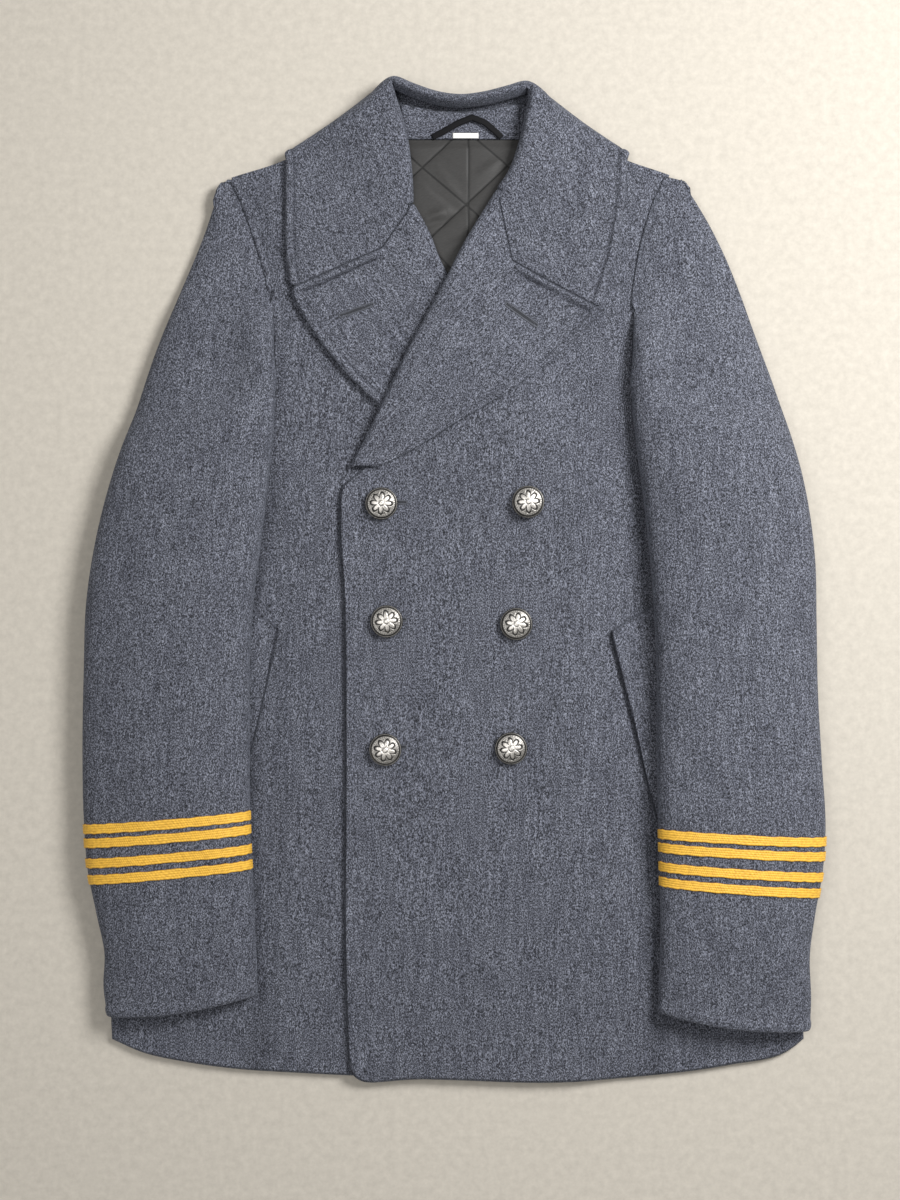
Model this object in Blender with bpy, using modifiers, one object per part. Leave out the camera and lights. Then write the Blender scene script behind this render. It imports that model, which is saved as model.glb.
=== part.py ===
"""A double-breasted wool coat, laid flat on its back with the front closed.

The coat lies in the XY plane with its collar towards +Y and its hem towards -Y.
Tables and heights are in millimetres, and every mesh is made in metres.
Each piece of cloth is a grid of points, made a wall by Solidify. Heights are piled up:
a piece that lies on another one is raised by it, and sinks softly beyond its edge.
"""

import math

import bmesh
import bpy
import numpy as np

MM = 0.001

# The middle of the coat's outline in the tables, which is moved to the origin
CENTRE = (0.53, 4.52, 0.0)

# Walls and gaps
WALL = 3.0
TURNED_WALL = 3.2
FACING_WALL = 1.4
LINING_WALL = 1.5
QUILT_RELIEF = 1.2
WELT_WALL = 2.4
BRAID_WALL = 1.2
GAP = 0.4
SEAM = 0.5
LEAF_GAP = 0.9
SLEEVE_GAP = 1.1

# How the layers fill out
BODY_AIR = 3.3
AIR_SHOULDER = 40.0
HEM_AIR_SHARE = 0.2
HEM_FADE = 140.0
SOFT_EDGE = 45.0
EDGE_PAD = 9.0
FLOOR_CLEAR = 0.6
SIDE_DROP = 30.0
NECK_X = 4.5
ROLL_INSET = 9.2
ROLL_HALF = 5.0
LAPEL_RISE = 3.0
NECK_RISE = 11.0
RIDGE_Z = 27.0
STAND_Z = 7.6

BUTTON_DIAMETER = 25.0
BUTTON_HEIGHT = 8.5

WOOL = (0.105, 0.125, 0.165)
GOLD = (0.62, 0.36, 0.06)
PEWTER = (0.33, 0.31, 0.28)
LINING_GREY = (0.06, 0.058, 0.055)
TAPE_BLACK = (0.02, 0.02, 0.022)
LABEL_WHITE = (0.85, 0.85, 0.83)

# The hem line across both side seams: x, y
HEM = (
    (-266, -352), (-243, -362), (-212, -369), (-169, -375), (-123, -378), (-85, -380),
    (0, -383), (74, -385), (144, -381), (214, -372), (260, -361), (273, -351),
)

# Shoulder seams and back neck, left to right: x, y
SHOULDER_LEFT = ((-173, 317), (-132, 330), (-96, 351), (-69, 367), (-46, 376))
NECK_EDGE = ((-38, 375), (-20, 371.5), (4.5, 369.5), (29, 371.5), (47, 375))
SHOULDER_RIGHT = ((56, 377), (80, 367), (109, 345), (128, 333), (167, 319))

# Rows of the back panel: left_x, left_y, right_x, right_y
BACK_ROWS = (
    (-266, -352, 272, -351), (-267, -328, 271, -328), (-269, -274, 270, -274),
    (-271, -181, 272, -181), (-270, -88, 268, -88), (-264, -10, 265, -10),
    (-254, 62, 256, 60), (-242, 107, 241, 106), (-221, 134, 223, 134),
    (-207, 169, 209, 169), (-198, 208, 200, 208), (-188, 247, 190, 247),
    (-178, 286, 178, 286), (-173, 317, 167, 319),
)

# Rows of the right front, which lies underneath: side_x, side_y, edge_x, edge_y
FRONT_RIGHT_ROWS = (
    (-266, -352, 79, -352), (-267, -328, 79, -328), (-269, -274, 79, -274),
    (-271, -181, 79, -181), (-270, -88, 79, -88), (-264, -10, 79, -10),
    (-254, 67, 79, 60), (-241, 106, 73, 92), (-197, 113, 62, 115), (-158, 125, 50, 138),
    (-141, 144, 38, 162), (-139, 183, 19, 197), (-142, 226, -4, 235),
    (-153, 268, -20, 275), (-163, 296, -33, 302), (-168, 307, -36, 345),
    (-172.5, 317, -45, 376),
)

# Rows of the left front, which laps over: edge_x, edge_y, side_x, side_y
FRONT_LEFT_ROWS = (
    (-81, -352, 272, -351), (-83, -328, 271, -328), (-85, -274, 270, -274),
    (-85, -181, 272, -181), (-85, -88, 268, -88), (-86, -10, 265, -10),
    (-89, 50, 256, 59), (-86, 80, 241, 106), (-74, 102, 194, 113), (-61, 130, 152, 125),
    (-46, 161, 139, 144), (-26, 203, 138, 183), (-5, 238, 140.5, 222), (10, 269, 147, 264),
    (31, 303, 156, 295), (51, 345, 162, 308), (58, 377, 167, 319),
)

# Front armhole seams above the notch where the sleeve starts to lie on the front: x, y
ARMHOLE_RIGHT = ((-141, 144), (-139, 183), (-142, 226), (-153, 268), (-163, 296), (-173, 318))
ARMHOLE_LEFT = ((139, 144), (138, 183), (140.5, 222), (147, 264), (156, 295), (168, 320))

# Rows of the sleeves, cuff to shoulder: outer_x, outer_y, inner_x, inner_y, fullness
SLEEVE_RIGHT_ROWS = (
    (-268, -332, -152, -315, 15), (-271, -308, -152, -294, 16), (-270, -285, -153, -273, 18),
    (-276, -254, -154, -242, 19), (-283, -219, -156, -207, 20), (-286, -180, -157, -169, 21),
    (-287, -126, -157, -115, 22), (-286, -65, -157, -57, 23), (-284, -10, -154, -9, 23),
    (-276, 40, -149, 32, 23), (-264, 86, -144, 74, 23), (-248, 132, -139, 121, 21),
    (-231, 183, -138, 163, 18), (-213, 227, -140, 206, 15), (-196, 268, -144, 240, 9),
    (-184, 296, -156, 282, 6), (-179.5, 308, -165, 301, 3), (-176.5, 314, -172, 316, 1),
)
SLEEVE_LEFT_ROWS = (
    (275, -343, 158, -329, 15), (276, -320, 158, -308, 16), (275, -285, 159, -277, 18),
    (279, -254, 159, -246, 19), (285, -219, 158, -211, 20), (287, -188, 157, -178, 21),
    (284, -134, 156, -126, 22), (281, -80, 156, -72, 23), (280, -26, 154, -22, 23),
    (279, 20, 151, 20, 23), (273, 67, 146, 67, 23), (262, 113, 140, 113, 21),
    (249, 153, 137, 148, 18), (234, 194, 138, 190, 15), (221, 231, 142, 226, 9),
    (207, 264, 149, 260, 6), (190, 295, 157, 294, 3), (173.5, 315, 167.5, 318, 1),
)

# Inner edge of the strip of under sleeve beside the back armhole, underarm upwards: x, y
STRIP_RIGHT = ((-246, 107), (-226, 134), (-211, 169), (-201.5, 208), (-191.5, 247), (-187, 268))
STRIP_LEFT = ((245, 106), (228, 134), (213, 169), (203.5, 208), (193.5, 247), (184, 278))

# The front armhole's scoop, where the under sleeve is sewn, from underarm inwards: x, y
SCOOP_RIGHT = ((-246, 107), (-220, 108), (-197, 112), (-158, 124), (-142, 139))
SCOOP_LEFT = ((245, 106), (219, 108), (194, 112), (155, 124), (141, 139))

# Rows of the lapels, from the lower end of the roll to the gorge: roll_x, roll_y, tip_x, tip_y
LAPEL_RIGHT_ROWS = (
    (74, 92, 57, 84), (60, 119, 32, 96), (37, 162, -16, 119), (10, 214, -58, 141),
    (-10, 252, -92, 175), (-20, 276, -118, 212), (-31, 296, -126.5, 231),
)
LAPEL_RIGHT_GORGE = (-56, 262)
LAPEL_LEFT_ROWS = (
    (-81, 93, -59, 92), (-72, 108, -36, 103), (-57, 138, 0, 125), (-36, 182, 45, 152),
    (-9, 232, 85, 183), (11, 271, 106, 204), (33, 307, 113, 215.5),
)
LAPEL_LEFT_GORGE = (45, 252)

# Stations of the collar from the right gorge round the neck to the left one.
# ridge_x, ridge_y, edge_x, edge_y, turn (0 lies on the front, 1 lies under the back), rise
COLLAR_STATIONS = (
    (-31, 296.5, -126.5, 231.5, 0.0, 0.0), (-32, 318, -130, 262, 0.0, 0.35),
    (-35, 343, -130, 298, 0.0, 0.8), (-40, 364, -130, 320, 0.0, 1.0),
    (-45, 379, -130, 329, 0.0, 1.0), (-48, 387, -129, 333, 0.5, 1.0),
    (-44, 388, -125, 328, 1.0, 1.0), (-32, 383, -98, 314, 1.0, 1.0),
    (-14, 377, -52, 305, 1.0, 1.0), (4.5, 374.5, 4.5, 302, 1.0, 1.0),
    (23, 376.5, 61, 305, 1.0, 1.0), (41, 381, 107, 314, 1.0, 1.0),
    (53, 384.5, 130, 328, 1.0, 1.0), (58, 383.5, 134, 333, 0.5, 1.0),
    (57, 376, 134, 329, 0.0, 1.0), (54, 362, 133, 316, 0.0, 1.0),
    (50, 343, 131, 291, 0.0, 0.8), (42.5, 322, 125, 256, 0.0, 0.35),
    (33, 307.5, 113, 216, 0.0, 0.0),
)

# Pocket welts, corners of the parallelogram: x, y
WELT_RIGHT = ((-135, -32), (-170, -12), (-205, -160), (-169, -182))
WELT_LEFT = ((120, -35), (155, -14), (192, -160), (157, -182))

# Braid edges along the sleeve: outer_y and inner_y of the upper edge of each band
BRAID_HEIGHT = 7.6
BRAIDS_RIGHT = ((-183.4, -172.2), (-194.2, -182.7), (-209.7, -197.8), (-222.4, -209.7))
BRAIDS_LEFT = ((-192.7, -186.5), (-204.3, -196.6), (-220.5, -211.2), (-232.8, -222.8))

# Buttons, wearer's right column then left column: x, y
BUTTONS = ((-56, 64), (-52, -27), (-53, -126), (57, 65), (48, -29), (44, -125))

# The patch of lining that the neck shows, and its quilting
LINING_X = (-55.0, 64.0)
LINING_Y = (206.0, 346.5)
QUILT_PITCH = 44.0
FACING_X = (-41.0, 51.0)
FACING_Y = (347.0, 363.5)
HANGER = ((-17, 348), (-8, 352.5), (4, 359), (14, 363), (24, 359), (32, 352.5), (37, 348))
LABEL_CENTRE = (9, 349.5)
LABEL_SIZE = (20.0, 4.2)


def ramp(value):
    """Nought below nought, one above one, and a soft S between."""
    t = np.clip(value, 0.0, 1.0)
    return t * t * (3.0 - 2.0 * t)


def smooth(points, places):
    """Reads a soft curve through the points, at places from 0 (first) to 1 (last)."""
    points = np.array(points, float)
    steps = np.linalg.norm(np.diff(points[:, :2], axis=0), axis=1)
    marks = np.concatenate([[0.0], np.cumsum(steps)]) / steps.sum()
    slopes = np.gradient(points, marks, axis=0)
    places = np.clip(np.asarray(places, float), 0.0, 1.0)
    k = np.clip(np.searchsorted(marks, places, side="right") - 1, 0, len(marks) - 2)
    span = (marks[k + 1] - marks[k])[..., None]
    t = ((places - marks[k])[..., None]) / span
    a = (1 + 2 * t) * (1 - t) ** 2
    b = t * (1 - t) ** 2
    c = t * t * (3 - 2 * t)
    d = t * t * (t - 1)
    return a * points[k] + b * span * slopes[k] + c * points[k + 1] + d * span * slopes[k + 1]


def line_y(points, x):
    """The height of a line given by x, y points, at each x."""
    dense = smooth(points, np.linspace(0, 1, 200))
    return np.interp(x, dense[:, 0], dense[:, 1])


def line_x(points, y):
    """The x of a line that climbs in y, at each y."""
    dense = smooth(points, np.linspace(0, 1, 200))
    return np.interp(y, dense[:, 1], dense[:, 0])


def depth_inside(x, y, outline):
    """Distance from the outline, above nought inside it and below nought outside."""
    outline = np.asarray(outline, float)
    ends = np.roll(outline, -1, axis=0)
    inside = np.zeros(np.shape(x), bool)
    nearest = np.full(np.shape(x), 1e9)
    for (ax, ay), (bx, by) in zip(outline, ends):
        run = np.array([bx - ax, by - ay])
        length = max(float(run @ run), 1e-12)
        t = np.clip(((x - ax) * run[0] + (y - ay) * run[1]) / length, 0, 1)
        nearest = np.minimum(nearest, np.hypot(x - ax - t * run[0], y - ay - t * run[1]))
        if ay != by:
            crosses = ((ay > y) != (by > y)) & (x < (bx - ax) * (y - ay) / (by - ay) + ax)
            inside ^= crosses
    return np.where(inside, nearest, -nearest)


def over(x, y, outline):
    """One on a piece with this outline, sinking softly to nought beyond its edge."""
    return ramp((depth_inside(x, y, outline) + SOFT_EDGE + EDGE_PAD) / SOFT_EDGE)


def border(grid):
    """The outline of a grid of plan points."""
    return np.concatenate([grid[0, :-1], grid[:-1, -1], grid[-1, :0:-1], grid[:0:-1, 0]])[:, :2]


# Plans of the panels


def rows_plan(rows, row_count, column_count):
    """Straight rows between the two edges that the table gives."""
    rows = np.array(rows, float)
    middle = (rows[:, :2] + rows[:, 2:4]) / 2
    both = np.concatenate([middle, rows], axis=1)
    read = smooth(both, np.linspace(0, 1, row_count))[:, 2:]
    u = np.linspace(0, 1, column_count)[None, :, None]
    return read[:, None, :2] * (1 - u) + read[:, None, 2:4] * u, read


def meet_line(plan, row, target_y, reach):
    """Moves the plan's first or last row onto a line, and its neighbours by less."""
    start = plan[row].copy()
    shift = target_y - start[:, 1]
    away = np.abs(plan[:, :, 1] - start[None, :, 1])
    plan[:, :, 1] += shift[None, :] * np.clip(1 - away / reach, 0, 1)


def back_plan(row_count, column_count):
    plan, _ = rows_plan(BACK_ROWS, row_count, column_count)
    meet_line(plan, 0, line_y(HEM, plan[0, :, 0]) + 1.5, HEM_FADE)
    top = SHOULDER_LEFT + NECK_EDGE + SHOULDER_RIGHT
    xs = [p[0] for p in top]
    ys = [p[1] for p in top]
    meet_line(plan, -1, np.interp(plan[-1, :, 0], xs, ys), 170.0)
    return plan


def tuck_edge(plan, column, start_y, inset):
    """Pulls one edge column of a front back from the roll line, above the lapel's end."""
    width = plan[:, -1, 0] - plan[:, 0, 0]
    share = inset * ramp((plan[:, column, 1] - start_y) / 16.0) / width
    u = np.linspace(0, 1, plan.shape[1])[None, :]
    if column == 0:
        u = 1 - u
    move = share[:, None] * u
    sign = 1 if column == 0 else -1
    plan[:, :, 0] += sign * move * width[:, None]


def front_right_plan(row_count, column_count):
    plan, _ = rows_plan(FRONT_RIGHT_ROWS, row_count, column_count)
    tuck_edge(plan, -1, 72.0, ROLL_INSET)
    meet_line(plan, 0, line_y(HEM, plan[0, :, 0]), HEM_FADE)
    shoulder = line_y(SHOULDER_LEFT, plan[-1, :, 0])
    meet_line(plan, -1, np.where(plan[-1, :, 0] > -46, 375.0, shoulder), 50.0)
    return plan


def front_left_plan(row_count, column_count):
    plan, _ = rows_plan(FRONT_LEFT_ROWS, row_count, column_count)
    tuck_edge(plan, 0, 76.0, ROLL_INSET)
    hang = 5.0 * ramp((-20.0 - plan[0, :, 0]) / 60.0)
    meet_line(plan, 0, line_y(HEM, plan[0, :, 0]) - hang, HEM_FADE)
    shoulder = line_y(SHOULDER_RIGHT, plan[-1, :, 0])
    meet_line(plan, -1, np.where(plan[-1, :, 0] < 56, 375.0, shoulder), 50.0)
    return plan


def lapel_plan(rows, corner, row_count):
    """Rows from the roll line to the lapel's edge, the last one bent along the gorge."""
    _, read = rows_plan(rows, row_count, 2)
    plan = read[:, None, :2] * (1 - TURN_U[:, None]) + read[:, None, 2:4] * TURN_U[:, None]
    roll = read[-1, :2]
    tip = read[-1, 2:4]
    corner = np.array(corner, float)
    first = np.linalg.norm(corner - roll)
    second = np.linalg.norm(tip - corner)
    share = first / (first + second)
    u = TURN_U
    low = roll + (corner - roll) * (np.clip(u / share, 0, 1))[:, None]
    bent = low + (tip - corner) * (np.clip((u - share) / (1 - share), 0, 1))[:, None]
    offset = bent - plan[-1]
    v = np.linspace(0, 1, row_count)
    fade = np.clip((v - 0.45) / 0.55, 0, 1) ** 1.5
    return plan + offset[None] * fade[:, None, None], bent


# Heights: lower and upper face of each layer


BODY_OUTLINE = np.array(
    [(-266, -600), (-266, -352)]
    + [row[:2] for row in BACK_ROWS[1:]]
    + [(-132, 331), (-60, 371), (4.5, 402), (70, 372), (128, 334)]
    + [row[2:] for row in BACK_ROWS[:0:-1]]
    + [(272, -351), (272, -600)],
    float,
)


def fall_edge(x):
    """Lower edge of the hidden back of the collar."""
    return 302.0 + 29.0 * ((x - NECK_X) / 130.0) ** 2


def back_low(x, y):
    """The back lies on the surface, and on the collar's fall near the neck."""
    return (TURNED_WALL + GAP + 0.3) * ramp((y - fall_edge(x) + 100.0) / 90.0)


def body_air(x, y):
    edge = ramp((depth_inside(x, y, BODY_OUTLINE) - 2.0) / AIR_SHOULDER)
    hem = ramp((y - line_y(HEM, x)) / HEM_FADE)
    return BODY_AIR * edge * (HEM_AIR_SHARE + (1 - HEM_AIR_SHARE) * hem)


def front_low(x, y):
    return back_low(x, y) + WALL + GAP + body_air(x, y)


def front_right_top(x, y):
    return front_low(x, y) + WALL


class Layers:
    """Outlines of the pieces that others lie on."""

    front_right = None
    lapel_right = None
    front_left = None
    welts = {}


def front_left_low(x, y):
    low = front_low(x, y) + (WALL + GAP) * over(x, y, Layers.front_right)
    return low + (TURNED_WALL + LEAF_GAP) * over(x, y, Layers.lapel_right)


def front_left_top(x, y):
    return front_left_low(x, y) + WALL


def sleeve_low(x, y, side):
    """What the under sleeve lies on: the front, or the surface beyond the side."""
    top = front_right_top(x, y) if side < 0 else front_left_top(x, y)
    outline = Layers.front_right if side < 0 else Layers.front_left
    rest = top + SLEEVE_GAP + (WELT_WALL + GAP) * over(x, y, Layers.welts[side])
    inside = ramp((depth_inside(x, y, outline) + SIDE_DROP + 6.0) / SIDE_DROP)
    return FLOOR_CLEAR + (rest - FLOOR_CLEAR) * inside


# Making the meshes


def metres(points):
    """Points of the tables as places in the scene."""
    return (np.asarray(points, float) - CENTRE) * MM


def new_collection(name):
    collection = bpy.data.collections.new(name)
    bpy.context.scene.collection.children.link(collection)
    return collection


def material(name, colour, roughness, metallic=0.0):
    made = bpy.data.materials.get(name)
    if made is None:
        made = bpy.data.materials.new(name)
        made.use_nodes = True
        shader = made.node_tree.nodes["Principled BSDF"]
        shader.inputs["Base Color"].default_value = (*colour, 1.0)
        shader.inputs["Roughness"].default_value = roughness
        shader.inputs["Metallic"].default_value = metallic
    return made


def place(name, mesh, finish, collection):
    made = bpy.data.objects.new(name, mesh)
    mesh.materials.append(finish)
    collection.objects.link(made)
    return made


def grid_mesh(name, points):
    """An open grid of quads through rows of points in millimetres, bare where a point is missing."""
    row_count, column_count = points.shape[:2]
    mesh = bpy.data.meshes.new(name)
    there = np.isfinite(points).all(axis=-1)
    number = np.cumsum(there.reshape(-1)).reshape(there.shape) - 1
    corners = []
    for i in range(row_count - 1):
        for j in range(column_count - 1):
            square = ((i, j), (i, j + 1), (i + 1, j + 1), (i + 1, j))
            if all(there[a] for a in square):
                corners.append([int(number[a]) for a in square])
    mesh.from_pydata(metres(points[there]).tolist(), [], corners)
    mesh.validate()
    return mesh


def wall(name, points, thickness, side, finish, collection):
    """A cloth wall from a grid: side 1 grows it out of the faces' fronts, -1 behind them."""
    made = place(name, grid_mesh(name, points), finish, collection)
    solid = made.modifiers.new("Cloth wall", "SOLIDIFY")
    solid.thickness = thickness * MM
    solid.offset = side
    solid.use_rim = True
    for face in made.data.polygons:
        face.use_smooth = True
    return made


def lay(plan, height):
    """Plan points with their heights."""
    return np.concatenate([plan, height(plan[..., 0], plan[..., 1])[..., None]], axis=-1)


# Turned pieces: lapels and collar

TURN_U = np.array([0.0, 0.08, 0.17, 0.28, 0.42, 0.56, 0.71, 0.86, 1.0])


def along(row, start, places):
    """Points of a row from a distance past its first point to its end."""
    marks = np.concatenate([[0.0], np.cumsum(np.linalg.norm(np.diff(row, axis=0), axis=1))])
    wanted = start + (marks[-1] - start) * places
    return np.column_stack([np.interp(wanted, marks, row[:, k]) for k in (0, 1)])


def roll_section(centre, direction, ridge_z, base_z, half):
    """The rounded roll between the piece below and the leaf that lies on top."""
    angles = np.radians([-90, -50, -10, 30, 62])
    plan = centre[None] + direction[None] * half * np.cos(angles)[:, None]
    middle = (ridge_z + base_z) / 2
    rise = (ridge_z - base_z) / 2
    return np.column_stack([plan, middle + rise * np.sin(angles)])


def lapel_points(plan, top, inward, open_y):
    """Outer face of a lapel: its roll, then the leaf lying on the front."""
    rows = []
    for row, direction in zip(plan, inward):
        width = np.linalg.norm(row[-1] - row[0])
        half = ROLL_HALF * (0.74 + 0.26 * ramp((width - 20.0) / 30.0))
        row = np.concatenate([[row[0] - direction * half], along(row, half, TURN_U)[1:]])
        away = np.linalg.norm(row - row[0], axis=1)
        rest = top(row[:, 0], row[:, 1]) + LEAF_GAP + TURNED_WALL
        swell = LAPEL_RISE * ramp((row[0, 1] - open_y) / 60.0) * (1 - ramp(away / 45.0))
        leaf = np.column_stack([row, rest + swell])
        base_z = rest[0] - TURNED_WALL - LEAF_GAP - WALL
        rows.append(np.concatenate([roll_section(row[0], direction, leaf[0, 2], base_z, half), leaf]))
    return np.array(rows)


def inward_normals(line, toward_right):
    """Unit directions across a line, to the right of its travel or to the left."""
    along = np.gradient(line, axis=0)
    along /= np.linalg.norm(along, axis=1)[:, None]
    across = np.column_stack([along[:, 1], -along[:, 0]])
    return across if toward_right else -across


def collar_plan(station_count):
    stations = np.array(COLLAR_STATIONS, float)
    marks = np.linspace(0, 1, len(stations))
    places = np.linspace(0, 1, station_count)
    slopes = np.gradient(stations, marks, axis=0)
    k = np.clip(np.searchsorted(marks, places, side="right") - 1, 0, len(marks) - 2)
    span = marks[1] - marks[0]
    t = ((places - marks[k]) / span)[:, None]
    a = (1 + 2 * t) * (1 - t) ** 2
    b = t * (1 - t) ** 2
    c = t * t * (3 - 2 * t)
    d = t * t * (t - 1)
    read = a * stations[k] + b * span * slopes[k] + c * stations[k + 1] + d * span * slopes[k + 1]
    read[:, 4:] = np.clip(read[:, 4:], 0, 1)
    return read


def collar_points(gorges, ends, station_count):
    """Outer face of the collar: stand, ridge and fall at each station round the neck."""
    read = collar_plan(station_count)
    ridge = read[:, :2]
    inward = inward_normals(ridge, True)
    reach = 0.12 * station_count
    for i in range(station_count):
        for side, far in ((-1, i), (1, station_count - 1 - i)):
            share = 1 - ramp(far / reach)
            inward[i] = inward[i] * (1 - share) + ends[side] * share
        inward[i] /= np.linalg.norm(inward[i])
    u = TURN_U
    rows = []
    for i in range(station_count):
        turn = read[i, 4]
        rise = read[i, 5]
        edge = read[i, 2:4]
        side = -1 if i < station_count / 2 else 1
        straight = ridge[i] + (edge - ridge[i]) * u[:, None]
        end = 0 if side < 0 else -1
        bent = gorges[side] - (read[end, :2] + (read[end, 2:4] - read[end, :2]) * u[:, None])
        near = 1 - ramp(abs(i - (0 if side < 0 else station_count - 1)) / (0.16 * station_count))
        half = ROLL_HALF * (1 - 0.25 * turn)
        centre = ridge[i] - inward[i] * half * (1 - turn)
        plan = np.concatenate([[centre], along(straight + bent * near, half, u)[1:]])
        top = front_right_top if side < 0 else front_left_top
        rest = top(plan[:, 0], plan[:, 1]) + LEAF_GAP + TURNED_WALL
        away = np.linalg.norm(plan - plan[0], axis=1)
        swell = (LAPEL_RISE + (NECK_RISE - LAPEL_RISE) * rise) * (1 - ramp(away / (45.0 + 30 * rise)))
        above = np.column_stack([plan, rest + swell])
        ridge_z = above[0, 2] * (1 - turn) + RIDGE_Z * turn
        drop = ramp(u / 0.3)
        outward = 4.4 * ramp(u / 0.1) * (1 - ramp((u - 0.28) / 0.4))
        under_plan = ridge[i] + (edge - ridge[i]) * (ramp((u - 0.24) / 0.76))[:, None]
        under_plan = under_plan - inward[i] * outward[:, None]
        below = np.column_stack([under_plan, ridge_z * (1 - drop)])
        sunk = (1 - math.cos(math.pi * turn)) / 2
        leaf = above * (1 - sunk) + below * sunk
        line = edge - ridge[i]
        line /= np.linalg.norm(line)
        out_of_crease = np.array([line[1], -line[0]]) if side < 0 else np.array([-line[1], line[0]])
        bend = 7.0 * math.sin(math.pi * turn)
        leaf[:, :2] += out_of_crease * bend * ramp(u / 0.2)[:, None]
        flat_z = leaf[0, 2] - swell[0] - TURNED_WALL - LEAF_GAP - WALL
        base_z = flat_z * (1 - turn) + STAND_Z * turn
        leaf[0] = (*centre, ridge_z)
        rows.append(np.concatenate([roll_section(centre, inward[i], ridge_z, base_z, half), leaf]))
    return np.array(rows)


# Sleeves


SLEEVE_U = np.linspace(0.0, 1.0, 13)


def sleeve_rows(rows, side, places):
    rows = np.array(rows, float)
    middle = (rows[:, :2] + rows[:, 2:4]) / 2
    read = smooth(np.concatenate([middle, rows], axis=1), places)[..., 2:]
    seam = ARMHOLE_RIGHT if side < 0 else ARMHOLE_LEFT
    flush = ramp((read[..., 3] - 168.0) / 22.0)
    wanted = line_x(seam, read[..., 3]) + side * SLEEVE_GAP
    read[..., 2] = read[..., 2] * (1 - flush) + wanted * flush
    return read


def sleeve_surface(rows, side, u, v):
    """Outer face of the top sleeve. u runs from the outer edge to the inner, v from the cuff."""
    read = sleeve_rows(rows, side, v)
    outer = read[..., :2]
    inner = read[..., 2:4]
    fullness = read[..., 4]
    angle = np.pi * u
    across = np.cos(angle)
    across = np.sign(across) * np.abs(across) ** 0.78
    share = (1 - across) / 2
    plan = outer * (1 - share[..., None]) + inner * share[..., None]
    sag = 4.0 * np.sin(np.pi * share) * ramp(1 - v / 0.12)
    plan = plan - np.stack([0 * sag, sag], axis=-1)
    x, y = plan[..., 0], plan[..., 1]
    high = np.sin(angle) ** 0.72
    nearer = share + (0.5 - share) * 0.12
    inner_plan = outer * (1 - nearer[..., None]) + inner * nearer[..., None]
    under = sleeve_low(x, y, side)
    under = np.maximum(under, sleeve_low(inner_plan[..., 0], inner_plan[..., 1], side))
    base = under + WALL + SLEEVE_GAP + GAP
    lying = base + fullness * high
    cap = ramp((inner[..., 1] - 185.0) / 40.0)
    top = front_right_top if side < 0 else front_left_top
    seam_z = top(inner[..., 0], inner[..., 1])
    outer_z = sleeve_low(outer[..., 0], outer[..., 1], side) + WALL + GAP + 0.8
    width = np.linalg.norm(outer - inner, axis=-1)
    tight = 1 - ramp((width - 8.0) / 14.0)
    outer_z = outer_z * (1 - tight) + (seam_z - 1.0) * tight
    one_side = np.where(u < 0.5, np.sin(angle) ** 0.72, 1.0)
    flush = outer_z + (seam_z - outer_z) * one_side + 0.35 * fullness * np.sin(angle) ** 1.2
    z = lying * (1 - cap) + flush * cap
    return np.stack([x, y, z], axis=-1)


def surface_normals(points, side):
    a = np.gradient(points, axis=0)
    b = np.gradient(points, axis=1)
    normal = np.cross(b, a)
    normal /= np.linalg.norm(normal, axis=-1)[..., None]
    return normal if side < 0 else -normal


def under_sleeve_plan(rows, side, scoop, strip):
    """Rows from the cuff to the scoop, then a strip beside the back armhole to the shoulder."""
    inset = 1.6
    columns = 11
    strip_columns = 3
    places = np.linspace(0, 1, 400)
    read = sleeve_rows(rows, side, places)
    underarm_v = np.interp(scoop[0][1], read[:, 1], places)
    inner_v = np.interp(scoop[-1][1], read[:, 3], places)
    rise = np.linspace(0.004, 1, 20)
    outer = sleeve_rows(rows, side, underarm_v * rise)[:, :2]
    inner = sleeve_rows(rows, side, inner_v * rise)[:, 2:4]
    outer = outer + (np.array([-side * inset, 0.0]))[None]
    inner = inner + (np.array([side * inset, 0.0]))[None]
    u = np.linspace(0, 1, columns)
    plan = outer[:, None] * (1 - u[None, :, None]) + inner[:, None] * u[None, :, None]
    head = smooth(scoop, np.linspace(0, 1, columns - strip_columns + 1))
    first = np.linspace(0, 1, strip_columns)[:, None]
    head = np.concatenate([outer[-1] * (1 - first) + head[0] * first, head[1:]])
    fade = np.clip((rise - 0.72) / 0.28, 0, 1) ** 1.3
    plan = plan + (head - plan[-1])[None] * fade[:, None, None]
    edge = smooth(strip, np.linspace(0, 1, 10)[1:])
    strip_v = np.interp(edge[:, 1], read[:, 1], places)
    rim = sleeve_rows(rows, side, strip_v)[:, :2] + (np.array([-side * inset, 0.0]))[None]
    bands = rim[:, None] * (1 - first[None]) + edge[:, None] * first[None]
    rest = np.full((len(edge), columns - strip_columns, 2), np.nan)
    return np.concatenate([plan, np.concatenate([bands, rest], axis=1)])


def flip(points, side):
    return points if side < 0 else points[:, ::-1]


# The pieces


def make_body(collection, wool):
    fronts = {-1: front_right_plan(30, 20), 1: front_left_plan(30, 20)}
    Layers.front_right = border(fronts[-1])
    Layers.front_left = border(fronts[1])
    lapels = {
        -1: lapel_plan(LAPEL_RIGHT_ROWS, LAPEL_RIGHT_GORGE, 14),
        1: lapel_plan(LAPEL_LEFT_ROWS, LAPEL_LEFT_GORGE, 14),
    }
    Layers.lapel_right = border(lapels[-1][0])
    wall("back", lay(back_plan(30, 22), back_low), WALL, 1, wool, collection)
    wall("front_right", lay(fronts[-1], front_low), WALL, 1, wool, collection)
    wall("front_left", lay(fronts[1], front_left_low), WALL, 1, wool, collection)
    return lapels


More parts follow.
